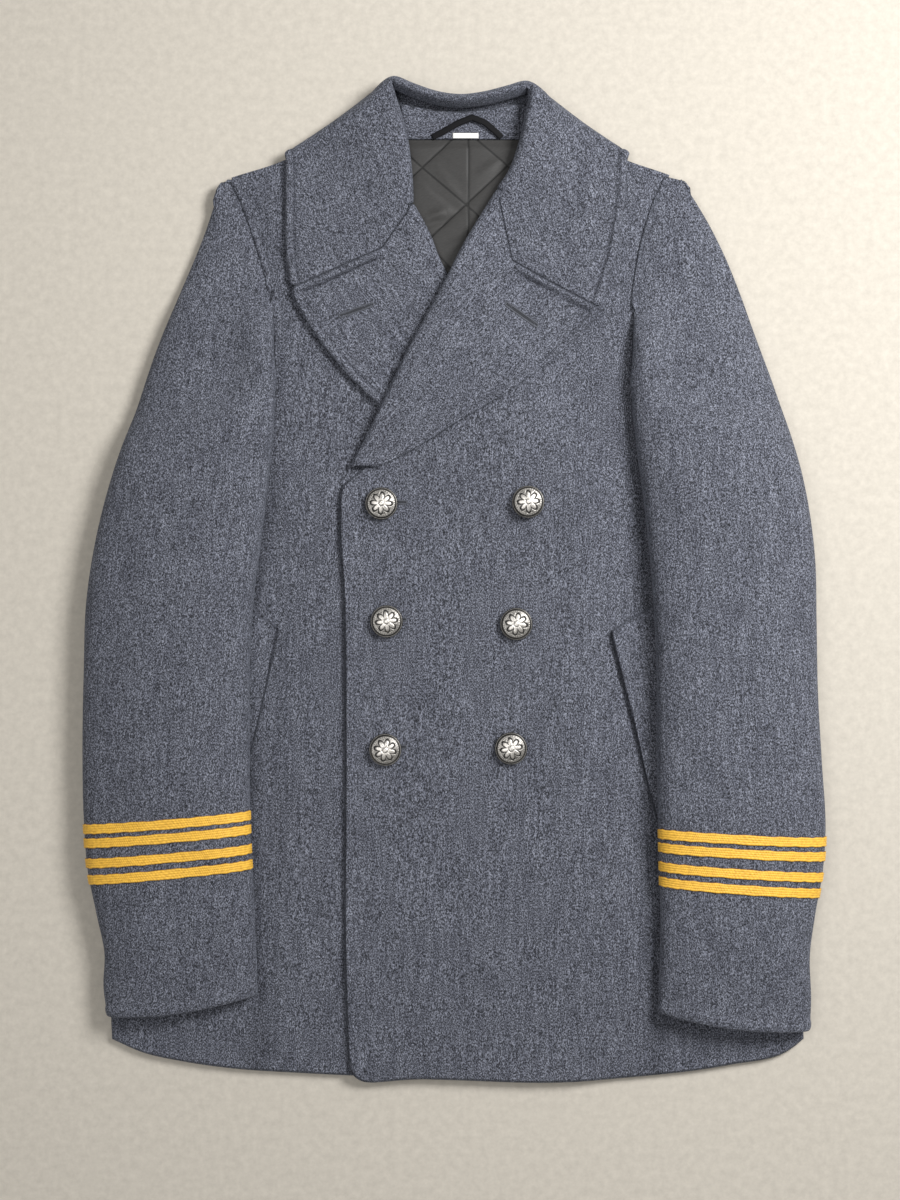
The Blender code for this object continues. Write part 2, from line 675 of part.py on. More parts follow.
def make_lapels(lapels, collection, wool):
    tops = {-1: front_right_top, 1: front_left_top}
    for side, name, open_y in ((-1, "lapel_right", 240.0), (1, "lapel_left", 100.0)):
        plan = lapels[side][0].copy()
        plan[-1] -= (side * SEAM, SEAM)
        inward = inward_normals(plan[:, 0], side < 0)
        points = lapel_points(plan, tops[side], inward, open_y)
        if side < 0:
            points = points[:, ::-1]
        wall(name, points, TURNED_WALL, -1, wool, collection)


def make_collar(lapels, collection, wool):
    gorges = {side: lapels[side][1] for side in (-1, 1)}
    ends = {side: inward_normals(lapels[side][0][:, 0], side < 0)[-1] for side in (-1, 1)}
    points = collar_points(gorges, ends, 55)
    wall("collar", points[:, ::-1], TURNED_WALL, -1, wool, collection)


def make_sleeves(collection, wool, gold):
    cases = (
        (-1, "right", SLEEVE_RIGHT_ROWS, SCOOP_RIGHT, STRIP_RIGHT, BRAIDS_RIGHT),
        (1, "left", SLEEVE_LEFT_ROWS, SCOOP_LEFT, STRIP_LEFT, BRAIDS_LEFT),
    )
    for side, word, rows, scoop, strip, braids in cases:
        v = np.concatenate([np.linspace(0, 0.9, 22), np.linspace(0.9, 0.998, 6)[1:]])
        uu, vv = np.meshgrid(SLEEVE_U, v)
        points = sleeve_surface(rows, side, uu, vv)
        wall(f"top_sleeve_{word}", flip(points, side), WALL, -1, wool, collection)
        plan = under_sleeve_plan(rows, side, scoop, strip)
        under = lay(plan, lambda x, y: sleeve_low(x, y, side))
        wall(f"under_sleeve_{word}", flip(under, side), WALL, 1, wool, collection)
        make_braids(rows, side, word, braids, collection, gold)


def make_braids(rows, side, word, braids, collection, gold):
    """Bands woven onto the sleeve: the sleeve's own points, moved out."""
    places = np.linspace(0, 1, 400)
    read = sleeve_rows(rows, side, places)
    for number, (outer_y, inner_y) in enumerate(braids, 1):
        lines = []
        for drop in (BRAID_HEIGHT, 0.0):
            outer_v = np.interp(outer_y - drop, read[:, 1], places)
            inner_v = np.interp(inner_y - drop, read[:, 3], places)
            lines.append((outer_v, inner_v))
        u = SLEEVE_U.copy()
        u[[0, -1]] = (0.03, 0.97)
        low = lines[0][0] * (1 - u) + lines[0][1] * u
        high = lines[1][0] * (1 - u) + lines[1][1] * u
        share = np.linspace(0, 1, 2)[:, None]
        vv = low[None] * (1 - share) + high[None] * share
        uu = np.repeat(u[None], 2, axis=0)
        points = sleeve_surface(rows, side, uu, vv)
        points = points + surface_normals(points, side) * (GAP + 0.35)
        wall(f"braid_{word}_{number}", flip(points, side), BRAID_WALL, 1, gold, collection)


def make_welts(collection, wool):
    for side, word in ((-1, "right"), (1, "left")):
        corners = np.array(WELT_RIGHT if side < 0 else WELT_LEFT, float)
        u = np.linspace(0, 1, 4)[None, :, None]
        v = np.linspace(0, 1, 9)[:, None, None]
        low = corners[3] * (1 - u) + corners[2] * u
        high = corners[0] * (1 - u) + corners[1] * u
        plan = low * (1 - v) + high * v
        top = front_right_top if side < 0 else front_left_top
        points = lay(plan, lambda x, y: top(x, y) + GAP)
        points = points[:, ::-1] if side < 0 else points
        wall(f"welt_{word}", points, WELT_WALL, 1, wool, collection)


def quilt(x, y):
    """Raised lozenges between two families of stitched lines."""
    falling = 0.65 * (x - 9.0) + 0.76 * (y - 296.0)
    rising = -0.68 * (x - 9.0) + 0.73 * (y - 296.0)
    a = np.abs(np.sin(np.pi * falling / QUILT_PITCH))
    b = np.abs(np.sin(np.pi * rising / QUILT_PITCH))
    return (a * b) ** 0.5


def make_neck(collection, wool, lining, tape, white):
    def on_back(x, y):
        return back_low(x, y) + WALL + GAP

    x = np.linspace(*LINING_X, 17)
    y = np.linspace(*LINING_Y, 17)
    plan = np.stack(np.meshgrid(x, y), axis=-1)
    low = lay(plan, on_back)
    edge = depth_inside(plan[..., 0], plan[..., 1], border(plan))
    raised = QUILT_RELIEF * quilt(plan[..., 0], plan[..., 1]) * ramp(edge / 12.0)
    high = low.copy()
    high[..., 2] += LINING_WALL + raised
    place("lining", closed_pair("lining", low, high), lining, collection)

    x = np.linspace(*FACING_X, 9)
    plan = np.stack(np.meshgrid(x, np.linspace(0, 1, 4)), axis=-1)
    top_y = line_y(NECK_EDGE, x) - 1.2
    plan[..., 1] = FACING_Y[0] + (top_y - FACING_Y[0])[None, :] * plan[..., 1]
    wall("back_neck_facing", lay(plan, on_back), FACING_WALL, 1, wool, collection)

    def on_facing(x, y):
        return on_back(x, y) + FACING_WALL + GAP

    path = smooth(HANGER, np.linspace(0, 1, 15))
    normals = inward_normals(path, True)
    tape_half = 3.2
    plan = np.stack([path + normals * tape_half, path - normals * tape_half], axis=1)
    loop = lay(plan, on_facing)
    loop[..., 2] += 2.5 * np.sin(np.pi * np.linspace(0, 1, 15))[:, None]
    wall("hanger_loop", loop[:, ::-1], 1.0, 1, tape, collection)

    half_x, half_y = LABEL_SIZE[0] / 2, LABEL_SIZE[1] / 2
    xs = LABEL_CENTRE[0] + np.array([-half_x, half_x])
    ys = LABEL_CENTRE[1] + np.array([-half_y, half_y])
    plan = np.stack(np.meshgrid(xs, ys), axis=-1).astype(float)
    wall("label", lay(plan, on_facing), 0.6, 1, white, collection)


def closed_pair(name, low, high):
    """A closed wall between two grids, for a plain inside under a raised outside."""
    row_count, column_count = low.shape[:2]
    mesh = bpy.data.meshes.new(name)
    build = bmesh.new()
    lower = [[build.verts.new(metres(p)) for p in row] for row in low]
    upper = [[build.verts.new(metres(p)) for p in row] for row in high]
    for i in range(row_count - 1):
        for j in range(column_count - 1):
            square = ((i, j), (i, j + 1), (i + 1, j + 1), (i + 1, j))
            build.faces.new([upper[a][b] for a, b in square])
            build.faces.new([lower[a][b] for a, b in reversed(square)])
    ring = [(0, j) for j in range(column_count)]
    ring += [(i, column_count - 1) for i in range(1, row_count)]
    ring += [(row_count - 1, j) for j in range(column_count - 2, -1, -1)]
    ring += [(i, 0) for i in range(row_count - 2, 0, -1)]
    for (a, b), (c, d) in zip(ring, ring[1:] + ring[:1]):
        build.faces.new([lower[a][b], lower[c][d], upper[c][d], upper[a][b]])
    build.to_mesh(mesh)
    build.free()
    return mesh


def make_buttons(collection, pewter):
    """Domed shank buttons, turned from one profile."""
    radius = BUTTON_DIAMETER / 2
    under = 2.2
    profile = [(0.0, BUTTON_HEIGHT)]
    for share in (0.3, 0.55, 0.75, 0.88):
        profile.append((radius * share, under + 1.6 + 4.7 * math.sqrt(1 - share * share)))
    profile += [(radius - 0.9, under + 2.1), (radius - 0.2, under + 1.7), (radius, under + 0.9)]
    profile += [(radius - 0.5, under), (3.5, under + 0.2), (3.0, 0.0), (0.0, 0.0)]
    for number, (x, y) in enumerate(BUTTONS, 1):
        mesh = bpy.data.meshes.new(f"button_{number}")
        edges = [(i, i + 1) for i in range(len(profile) - 1)]
        mesh.from_pydata([(r * MM, 0, z * MM) for r, z in profile], edges, [])
        made = place(f"button_{number}", mesh, pewter, collection)
        ring = np.radians(np.arange(0, 360, 30))
        under_z = front_left_top(x + 3.5 * np.cos(ring), y + 3.5 * np.sin(ring)).max()
        made.location = metres((x, y, under_z + GAP + 0.1))
        turned = made.modifiers.new("Turned", "SCREW")
        turned.angle = 2 * math.pi
        turned.steps = 16
        turned.render_steps = 16
        turned.use_merge_vertices = True
        turned.merge_threshold = 0.00005
        turned.use_smooth_shade = True


def main():
    for old in list(bpy.data.objects):
        bpy.data.objects.remove(old)
    collection = new_collection("Double-breasted coat")
    wool = material("Wool melton", WOOL, 0.9)
    gold = material("Gold braid", GOLD, 0.55)
    pewter = material("Antique pewter", PEWTER, 0.38, 1.0)
    lining = material("Quilted lining", LINING_GREY, 0.45)
    tape = material("Black tape", TAPE_BLACK, 0.7)
    white = material("Blank label", LABEL_WHITE, 0.7)
    for side, corners in ((-1, WELT_RIGHT), (1, WELT_LEFT)):
        Layers.welts[side] = np.array(corners, float)
    lapels = make_body(collection, wool)
    make_lapels(lapels, collection, wool)
    make_collar(lapels, collection, wool)
    make_welts(collection, wool)
    make_sleeves(collection, wool, gold)
    make_neck(collection, wool, lining, tape, white)
    make_buttons(collection, pewter)


main()
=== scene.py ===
"""A double-breasted wool coat, laid flat on its back: the looks over its CAD frame.

Every piece is made from the same tables and height functions as the CAD solids, on finer
grids. Tables, constants and heights are in millimetres where nothing else is said, and every
mesh is made in metres.
"""

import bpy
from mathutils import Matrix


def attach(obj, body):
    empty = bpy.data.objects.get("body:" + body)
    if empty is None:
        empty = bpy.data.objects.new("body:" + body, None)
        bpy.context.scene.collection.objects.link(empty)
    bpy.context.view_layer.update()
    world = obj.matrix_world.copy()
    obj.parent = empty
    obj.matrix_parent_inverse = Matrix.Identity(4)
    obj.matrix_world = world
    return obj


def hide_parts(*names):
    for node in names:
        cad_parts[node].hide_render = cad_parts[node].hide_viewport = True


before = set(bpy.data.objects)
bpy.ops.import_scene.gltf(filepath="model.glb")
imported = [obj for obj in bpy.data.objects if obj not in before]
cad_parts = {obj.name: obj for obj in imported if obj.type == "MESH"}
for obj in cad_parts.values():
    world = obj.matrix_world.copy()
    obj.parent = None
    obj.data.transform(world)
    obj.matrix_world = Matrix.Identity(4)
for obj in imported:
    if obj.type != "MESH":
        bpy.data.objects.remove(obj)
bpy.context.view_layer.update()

import math

import bpy
import numpy as np
from bpy.props import FloatProperty, FloatVectorProperty, PointerProperty

bl_info = {
    "name": "Double-breasted coat",
    "version": (1, 0, 0),
    "blender": (4, 5, 0),
    "location": "View3D > Sidebar > Coat",
    "description": "Dresses the CAD frame of a double-breasted wool coat",
    "category": "Object",
}

MM = 0.001

# The two sides of the coat. Tables that differ are keyed by side, and -1 is the wearer's right
SIDES = ((-1, "right"), (1, "left"))

# The middle of the coat's outline in the tables, which is moved to the origin
CENTRE = (0.53, 4.52, 0.0)

# Walls and gaps
WALL = 3.0
TURNED_WALL = 3.2
FACING_WALL = 1.4
LINING_WALL = 1.5
WELT_WALL = 2.4
BRAID_WALL = 1.2
TAPE_WALL = 1.0
LABEL_WALL = 0.6
GAP = 0.4
LEAF_GAP = 0.9
SLEEVE_GAP = 1.1

# Air in the body, how far in from its edge it is full, and what is left of it along the hem
BODY_AIR = 3.3
AIR_SHOULDER = 40.0
HEM_AIR_SHARE = 0.2
HEM_FADE = 140.0
HEM_HANG = 5.0

# How softly a layer sinks beyond the edge of the one below, and the sleeves beyond the sides
SOFT_EDGE = 45.0
EDGE_PAD = 9.0
FLOOR_CLEAR = 0.6
SIDE_DROP = 30.0

# Rolls of the lapels and the collar: the middle of the neck, how far the fronts are drawn in,
# the roll's half width, how high the leaves stand, and the ridge and stand behind the neck
NECK_X = 4.5
ROLL_INSET = 9.2
ROLL_HALF = 5.0
LAPEL_RISE = 3.0
NECK_RISE = 11.0
RIDGE_Z = 27.0
STAND_Z = 7.6
STAND_LEAN = 2.0

# The collar: shares of its length over which its ends follow the lapels' roll and the gorge, how
# far it bends at the crease, and how far the turned part bulges behind the neck
COLLAR_END = 0.12
COLLAR_GORGE = 0.16
COLLAR_BEND = 3.5
COLLAR_BULGE = 4.4

# A sleeve's section: powers of its curve across and upwards, and the cuff's sag
SLEEVE_ACROSS = 0.78
SLEEVE_UPWARDS = 0.72
CUFF_SAG = 4.0

# How far the collar's ends and the sleeves' edges reach over their seams, so that no gap shows
GORGE_LAP = 0.8
ARMHOLE_LAP = 1.0

# The sleeve's edge against the front's side edge: y from which it may not stop short of it, y
# from which it follows it, each with the length over which that sets in, and the front's first
# row that counts
ARMHOLE_REACH = (134.0, 12.0)
ARMHOLE_FLUSH = (168.0, 22.0)
ARMHOLE_ROW = 20

# Radius of the rounded corners in plan
FRONT_CORNER = 16.0
LEAF_CORNER = 5.0
WELT_CORNER = 3.0

# Topstitched bands: width, swell between the stitches and the edge, depth of the groove
LAPEL_BAND = (6.2, 0.6, 0.6)
GORGE_BAND = (6.4, 1.5, 1.7)
COLLAR_BAND = (7.0, 1.0, 1.1)
CUFF_BAND = (9.0, 0.9, 0.25)
WELT_BAND = (5.0, 0.25, 0.3)

# Buttons above the cloth, then below the dome: share of the radius, height
BUTTON_UNDER = 2.2
BUTTON_RIM = (
    (0.90, 3.3), (0.915, 2.5), (0.93, 2.2), (0.95, 2.35), (0.97, 2.25), (0.985, 1.95), (1.0, 1.4),
    (1.0, 0.8), (0.99, 0.35), (0.96, 0.0), (0.7, 0.1), (0.3, 0.2),
)
BUTTON_SHANK = ((0.25, 1.0), (0.24, 0.0), (0.0, 0.0))

# The stage in metres and watts. Lamps: place, target and size
FLOOR_SIZE = 8.0
FLOOR_Z = -0.0004
KEY_LAMP = ((0.85, 0.56, 1.1), (0.05, 0.05, 0.0), 0.6)
FILL_LAMP = ((-0.7, -0.1, 2.4), (0.0, 0.0, 0.0), 1.8)
FILL_POWER = 21.0
SKY_COLOUR = (1.0, 0.985, 0.96, 1.0)
SKY_STRENGTH = 0.23

# The camera looks straight down. Its place is in the tables' millimetres
CAMERA_PLACE = (-3.1, -10.5, 1500.0)
CAMERA_LENS = 57.69
CAMERA_SENSOR = 36.0

# Distances from a topstitched edge at which its grid has points
EDGE_MARKS = np.array([0.0, 0.5, 1.2, 2.2, 3.6, 5.0, 5.8, 6.4, 7.0, 8.2, 10.5])

# The hem line across both side seams: x, y
HEM = (
    (-266, -352), (-243, -362), (-212, -369), (-169, -375), (-123, -378), (-85, -380),
    (0, -383), (74, -385), (144, -381), (214, -372), (260, -361), (273, -351),
)

# Shoulder seams and back neck, by rising x: x, y
SHOULDERS = {
    -1: ((-173, 317), (-132, 330), (-96, 351), (-69, 367), (-46, 376)),
    1: ((56, 377), (80, 367), (109, 345), (128, 333), (167, 319)),
}
NECK_EDGE = ((-38, 375), (-20, 371.5), (4.5, 369.5), (29, 371.5), (47, 375))

# Rows of the back panel: left_x, left_y, right_x, right_y
BACK_ROWS = (
    (-266, -352, 272, -351), (-267, -328, 271, -328), (-269, -274, 270, -274),
    (-271, -181, 272, -181), (-270, -88, 268, -88), (-264, -10, 265, -10),
    (-254, 62, 256, 60), (-242, 107, 241, 106), (-221, 134, 223, 134),
    (-207, 169, 209, 169), (-198, 208, 200, 208), (-188, 247, 190, 247),
    (-178, 286, 178, 286), (-173, 317, 167, 319),
)

# Rows of the fronts. The right one lies underneath: side_x, side_y, edge_x, edge_y.
# The left one laps over: edge_x, edge_y, side_x, side_y
FRONT_ROWS = {
    -1: (
        (-266, -352, 79, -352), (-267, -328, 79, -328), (-269, -274, 79, -274),
        (-271, -181, 79, -181), (-270, -88, 79, -88), (-264, -10, 79, -10),
        (-254, 67, 79, 60), (-241, 106, 73, 92), (-197, 113, 62, 115), (-158, 125, 50, 138),
        (-141, 144, 38, 162), (-139, 183, 19, 197), (-142, 226, -4, 235),
        (-153, 268, -20, 275), (-163, 296, -33, 302), (-168, 307, -36, 345),
        (-172.5, 317, -45, 376),
    ),
    1: (
        (-81, -352, 272, -351), (-83, -328, 271, -328), (-85, -274, 270, -274),
        (-85, -181, 272, -181), (-85, -88, 268, -88), (-86, -10, 265, -10),
        (-89, 50, 256, 59), (-86, 80, 241, 106), (-74, 102, 194, 113), (-61, 130, 152, 125),
        (-46, 161, 139, 144), (-26, 203, 138, 183), (-5, 238, 140.5, 222), (10, 269, 147, 264),
        (31, 303, 156, 295), (51, 345, 162, 308), (58, 377, 167, 319),
    ),
}

# The y from which each front is tucked behind its roll, and x where its shoulder ends
FRONT_TUCK_Y = {-1: 72.0, 1: 76.0}
FRONT_NECK_X = {-1: -46, 1: 56}
FRONT_NECK_Y = 375.0

# Rows of the sleeves, cuff to shoulder: outer_x, outer_y, inner_x, inner_y, fullness
SLEEVE_ROWS = {
    -1: (
        (-268, -332, -152, -315, 15), (-271, -308, -152, -294, 16), (-270, -285, -153, -273, 18),
        (-276, -254, -154, -242, 19), (-283, -219, -156, -207, 20), (-286, -180, -157, -169, 21),
        (-287, -126, -157, -115, 22), (-286, -65, -157, -57, 23), (-284, -10, -154, -9, 23),
        (-276, 40, -149, 32, 23), (-264, 86, -144, 74, 23), (-248, 132, -139, 121, 21),
        (-231, 183, -138, 163, 18), (-213, 227, -140, 206, 15), (-196, 268, -144, 240, 9),
        (-186, 296, -156, 282, 6), (-181.5, 308, -165, 301, 3), (-176, 316.5, -172.5, 317, 1),
    ),
    1: (
        (275, -343, 158, -329, 15), (276, -320, 158, -308, 16), (275, -285, 159, -277, 18),
        (279, -254, 159, -246, 19), (285, -219, 158, -211, 20), (287, -188, 157, -178, 21),
        (284, -134, 156, -126, 22), (281, -80, 156, -72, 23), (280, -26, 154, -22, 23),
        (279, 20, 151, 20, 23), (273, 67, 146, 67, 23), (262, 113, 140, 113, 21),
        (249, 153, 137, 148, 18), (234, 194, 138, 190, 15), (221, 231, 142, 226, 9),
        (207, 264, 149, 260, 6), (190, 295, 157, 294, 3), (175, 316, 167.5, 318.8, 1),
    ),
}

# Inner edge of the strip of under sleeve beside the back armhole, underarm upwards: x, y
STRIPS = {
    -1: ((-246, 107), (-226, 134), (-211, 169), (-201.5, 208), (-191.5, 247), (-187, 268)),
    1: ((245, 106), (228, 134), (213, 169), (203.5, 208), (193.5, 247), (184, 278)),
}

# The front armhole's scoop, where the under sleeve is sewn, from underarm inwards: x, y
SCOOPS = {
    -1: ((-246, 107), (-220, 108), (-197, 112), (-158, 124), (-142, 139)),
    1: ((245, 106), (219, 108), (194, 112), (155, 124), (141, 139)),
}

# Rows of the lapels, from the lower end of the roll to the gorge: roll_x, roll_y, tip_x, tip_y
LAPEL_ROWS = {
    -1: (
        (74, 92, 57, 84), (60, 119, 32, 96), (37, 162, -16, 119), (10, 214, -58, 141),
        (-10, 252, -92, 175), (-20, 276, -118, 212), (-31, 296, -126.5, 231),
    ),
    1: (
        (-81, 93, -59, 92), (-72, 108, -36, 103), (-57, 138, 0, 125), (-36, 182, 45, 152),
        (-9, 232, 85, 183), (11, 271, 106, 204), (33, 307, 113, 215.5),
    ),
}

# Where the gorge bends: x, y. The y from which each roll stands open. Rows in the CAD model
LAPEL_GORGE = {-1: (-56, 262), 1: (45, 252)}
LAPEL_OPEN_Y = {-1: 240.0, 1: 100.0}
LAPEL_ROW_COUNT = 14

# Stations of the collar from the right gorge round the neck to the left one.
# ridge_x, ridge_y, edge_x, edge_y, turn (0 lies on the front, 1 lies under the back), rise
COLLAR_STATIONS = (
    (-31, 296.5, -126.5, 231.5, 0.0, 0.0), (-32, 318, -130, 262, 0.0, 0.35),
    (-35, 343, -130, 298, 0.0, 0.8), (-40, 364, -130, 320, 0.0, 1.0),
    (-45, 379, -130, 329, 0.0, 1.0), (-48, 387, -129, 333, 0.5, 1.0),
    (-44, 388, -125, 328, 1.0, 1.0), (-32, 383, -98, 314, 1.0, 1.0),
    (-14, 377, -52, 305, 1.0, 1.0), (4.5, 374.5, 4.5, 302, 1.0, 1.0),
    (23, 376.5, 61, 305, 1.0, 1.0), (41, 381, 107, 314, 1.0, 1.0),
    (53, 384.5, 130, 328, 1.0, 1.0), (58, 383.5, 134, 333, 0.5, 1.0),
    (57, 376, 134, 329, 0.0, 1.0), (54, 362, 133, 316, 0.0, 1.0),
    (50, 343, 131, 291, 0.0, 0.8), (42.5, 322, 125, 256, 0.0, 0.35),
    (33, 307.5, 113, 216, 0.0, 0.0),
)

# Pocket welts, corners of the parallelogram: x, y
WELTS = {
    -1: ((-135, -32), (-170, -12), (-205, -160), (-169, -182)),
    1: ((120, -35), (155, -14), (192, -160), (157, -182)),
}

# Braids: height, ribs, depth of the furrow between ribs, slant of the thread along the band, and
# outer_y and inner_y of the upper edge of each band
BRAID_HEIGHT = 7.1
BRAID_RIBS = 4
BRAID_FURROW = 0.55
BRAID_TWIST = 620.0
BRAIDS = {
    -1: ((-183.4, -172.2), (-194.2, -182.7), (-209.7, -197.8), (-222.4, -209.7)),
    1: ((-192.7, -186.5), (-204.3, -196.6), (-220.5, -211.2), (-232.8, -222.8)),
}

# Buttons, wearer's right column then left column: x, y, turn in degrees
BUTTONS = (
    (-56, 64, 4), (-52, -27, -7), (-53, -126, 12), (57, 65, -3), (48, -29, 9), (44, -125, -10),
)

# Worked buttonholes: start_x, start_y, end_x, end_y, with the eyelet at the start
LAPEL_HOLES = {-1: (-88.5, 208.8, -62.4, 218.1), 1: (40.0, 218.1, 64.6, 201.1)}
FRONT_HOLES = ((-36.5, 65, -60, 65), (-37, -25.5, -58, -26.5), (-37, -124, -59, -125))

# The patch of lining that the neck shows, and its quilting
LINING_X = (-55.0, 64.0)
LINING_Y = (206.0, 346.5)
QUILT_PITCH = 44.0
QUILT_RELIEF = 1.3
QUILT_CROSSING = (9.0, 296.0)
LINING_SEAM_X = 11.2
FACING_X = (-41.0, 51.0)
FACING_Y = (347.0, 363.5)
HANGER = ((-17, 348), (-8, 352.5), (4, 359), (14, 363), (24, 359), (32, 352.5), (37, 348))
TAPE_WIDTH = 4.8
LABEL_CENTRE = (9, 349.5)
LABEL_SIZE = (20.0, 4.2)

# Soft folds: start_x, start_y, end_x, end_y, half width, height (below nought is a trough)
BODY_FOLDS = (
    (-118, -60, -126, -300, 22, -0.9), (-100, 40, -112, -70, 18, 0.6),
    (118, 20, 110, -20, 16, -0.6), (96, -190, 104, -350, 24, -0.8),
    (20, -60, 8, -330, 30, 0.7), (-60, -180, -66, -350, 14, 0.5),
    (86, 90, 112, 10, 18, 0.7), (-110, 100, -122, 20, 14, -0.7),
    (128, -120, 122, -330, 12, 0.6), (60, -60, 66, -240, 16, -0.6),
    (-139, 90, -147, -360, 10, -2.5), (139, 90, 149, -360, 10, -2.3),
)
SLEEVE_FOLDS = {
    -1: (
        (-262, 2, -238, 6, 5, -0.8), (-268, 90, -200, 62, 16, 1.0), (-250, 60, -180, 30, 18, -1.0),
        (-176, 110, -196, 20, 16, 0.9), (-262, -60, -200, -40, 22, 0.8),
        (-170, -40, -190, -120, 16, -0.8), (-276, -130, -220, -120, 14, -0.6),
        (-240, -236, -250, -330, 12, 0.7), (-180, -240, -176, -320, 12, -0.7),
        (-214, 200, -196, 120, 18, 0.9),
    ),
    1: (
        (183, -246, 189, -268, 6, -1.1), (189, -268, 206, -289, 7, -1.1),
        (256, 80, 200, 54, 18, 0.9), (262, 40, 190, 16, 18, -0.9), (176, 100, 190, 20, 14, 0.9),
        (268, -70, 214, -56, 20, 0.8), (170, -60, 186, -150, 16, -0.8),
        (262, -160, 218, -150, 14, -0.6), (244, -244, 252, -336, 12, 0.7),
        (226, 196, 204, 120, 18, 0.9),
    ),
}
LINING_FOLDS = (
    (-12, 318, 6, 300, 3.5, 0.7), (-18, 308, 4, 292, 3.0, -0.6), (-20, 286, -6, 291, 3.5, 0.8),
    (-24, 280, -4, 284, 3.0, -0.6), (-14, 331, 8, 312, 3.5, -0.5), (18, 318, 36, 330, 4, 0.6),
    (16, 286, 34, 276, 4, 0.5), (-6, 262, 12, 270, 4, 0.6),
)
LAPEL_FOLDS = {
    -1: ((-30, 250, -80, 196, 14, 0.5), (0, 196, -34, 146, 12, 0.4)),
    1: ((20, 262, 70, 196, 14, 0.5), (-20, 186, 22, 146, 12, 0.4)),
}


# Curves and outlines


def ramp(value):
    """Nought below nought, one above one, and a soft S between."""
    t = np.clip(value, 0.0, 1.0)
    return t * t * (3.0 - 2.0 * t)


def beyond(value, start, length):
    """Nought up to a start, one from a length further on, and a soft S between."""
    return ramp((value - start) / length)


def ridge(distance, place, half=0.8):
    """A soft ridge of height one that runs at one distance, nought a few half widths away."""
    return np.exp(-(((distance - place) / half) ** 2))


def hermite(points, marks, places):
    """A soft curve through points that stand at marks, read at places."""
    slopes = np.gradient(points, marks, axis=0)
    k = np.clip(np.searchsorted(marks, places, side="right") - 1, 0, len(marks) - 2)
    span = (marks[k + 1] - marks[k])[..., None]
    t = (places - marks[k])[..., None] / span
    a = (1 + 2 * t) * (1 - t) ** 2
    b = t * (1 - t) ** 2
    c = t * t * (3 - 2 * t)
    d = t * t * (t - 1)
    return a * points[k] + b * span * slopes[k] + c * points[k + 1] + d * span * slopes[k + 1]


def smooth(points, places):
    """Reads a soft curve through the points, at places from 0 (first) to 1 (last)."""
    points = np.array(points, float)
    steps = np.linalg.norm(np.diff(points[:, :2], axis=0), axis=1)
    marks = np.concatenate([[0.0], np.cumsum(steps)]) / steps.sum()
    return hermite(points, marks, np.clip(np.asarray(places, float), 0.0, 1.0))


def line_y(points, x):
    """The height of a line given by x, y points, at each x."""
    dense = smooth(points, np.linspace(0, 1, 200))
    return np.interp(x, dense[:, 0], dense[:, 1])


def away_from(x, y, start, end):
    """Distance from a straight line's points, and how far along it the nearest one is."""
    run = np.subtract(end, start)
    length = max(float(run @ run), 1e-12)
    t = np.clip(((x - start[0]) * run[0] + (y - start[1]) * run[1]) / length, 0, 1)
    return np.hypot(x - start[0] - t * run[0], y - start[1] - t * run[1]), t


def depth_inside(x, y, outline):
    """Distance from the outline, above nought inside it and below nought outside."""
    outline = np.asarray(outline, float)
    inside = np.zeros(np.shape(x), bool)
    nearest = np.full(np.shape(x), 1e9)
    for (ax, ay), (bx, by) in zip(outline, np.roll(outline, -1, axis=0)):
        nearest = np.minimum(nearest, away_from(x, y, (ax, ay), (bx, by))[0])
        if ay != by:
            inside ^= ((ay > y) != (by > y)) & (x < (bx - ax) * (y - ay) / (by - ay) + ax)
    return np.where(inside, nearest, -nearest)


def over(x, y, outline):
    """One on a piece with this outline, sinking softly to nought beyond its edge."""
    return ramp((depth_inside(x, y, outline) + SOFT_EDGE + EDGE_PAD) / SOFT_EDGE)


def border(grid):
    """The outline of a grid of plan points."""
    return np.concatenate([grid[0, :-1], grid[:-1, -1], grid[-1, :0:-1], grid[:0:-1, 0]])[:, :2]


def spaced(length, inner, at_start=True, at_end=True):
    """Places from 0 to 1 along a length, closer together at its finished edges."""
    marks = EDGE_MARKS * min(1.0, length / 40.0)
    head = marks if at_start else np.zeros(1)
    tail = length - marks[::-1] if at_end else np.array([float(length)])
    middle = np.linspace(head[-1], tail[0], inner + 1)[1:-1]
    return np.concatenate([head, middle, tail]) / length


def round_corner(grid, row, column, radius):
    """Rounds one corner of a grid in plan, with its inner points moved in step."""
    corner = grid[row, column, :2].copy()
    inward = []
    for line in (grid[row], grid[:, column]):
        line = line if np.allclose(line[0, :2], corner) else line[::-1]
        reach = np.linalg.norm(line[:, :2] - corner, axis=1)
        far = line[min(int(np.searchsorted(reach, radius)) + 1, len(line) - 1), :2]
        inward.append((far - corner) / np.linalg.norm(far - corner))
    away = grid[..., :2] - corner
    share = np.linalg.solve(np.column_stack(inward), away.reshape(-1, 2).T).T.reshape(away.shape)
    a = np.clip(1 - share / radius, 0, 1)
    near = (a > 0).all(axis=-1) & (share > -0.5).all(axis=-1)
    disc = a * np.sqrt(1 - a[..., ::-1] ** 2 / 2)
    moved = corner + (radius * (1 - disc)) @ np.array(inward)
    grid[..., :2][near] = moved[near]


def folds(x, y, table):
    """Soft ridges and troughs that fade out at their ends."""
    height = np.zeros(np.shape(x))
    for x0, y0, x1, y1, half, rise in table:
        away, t = away_from(x, y, (x0, y0), (x1, y1))
        height += rise * ridge(away, 0.0, half) * np.sin(np.pi * (0.12 + 0.76 * t))
    return height


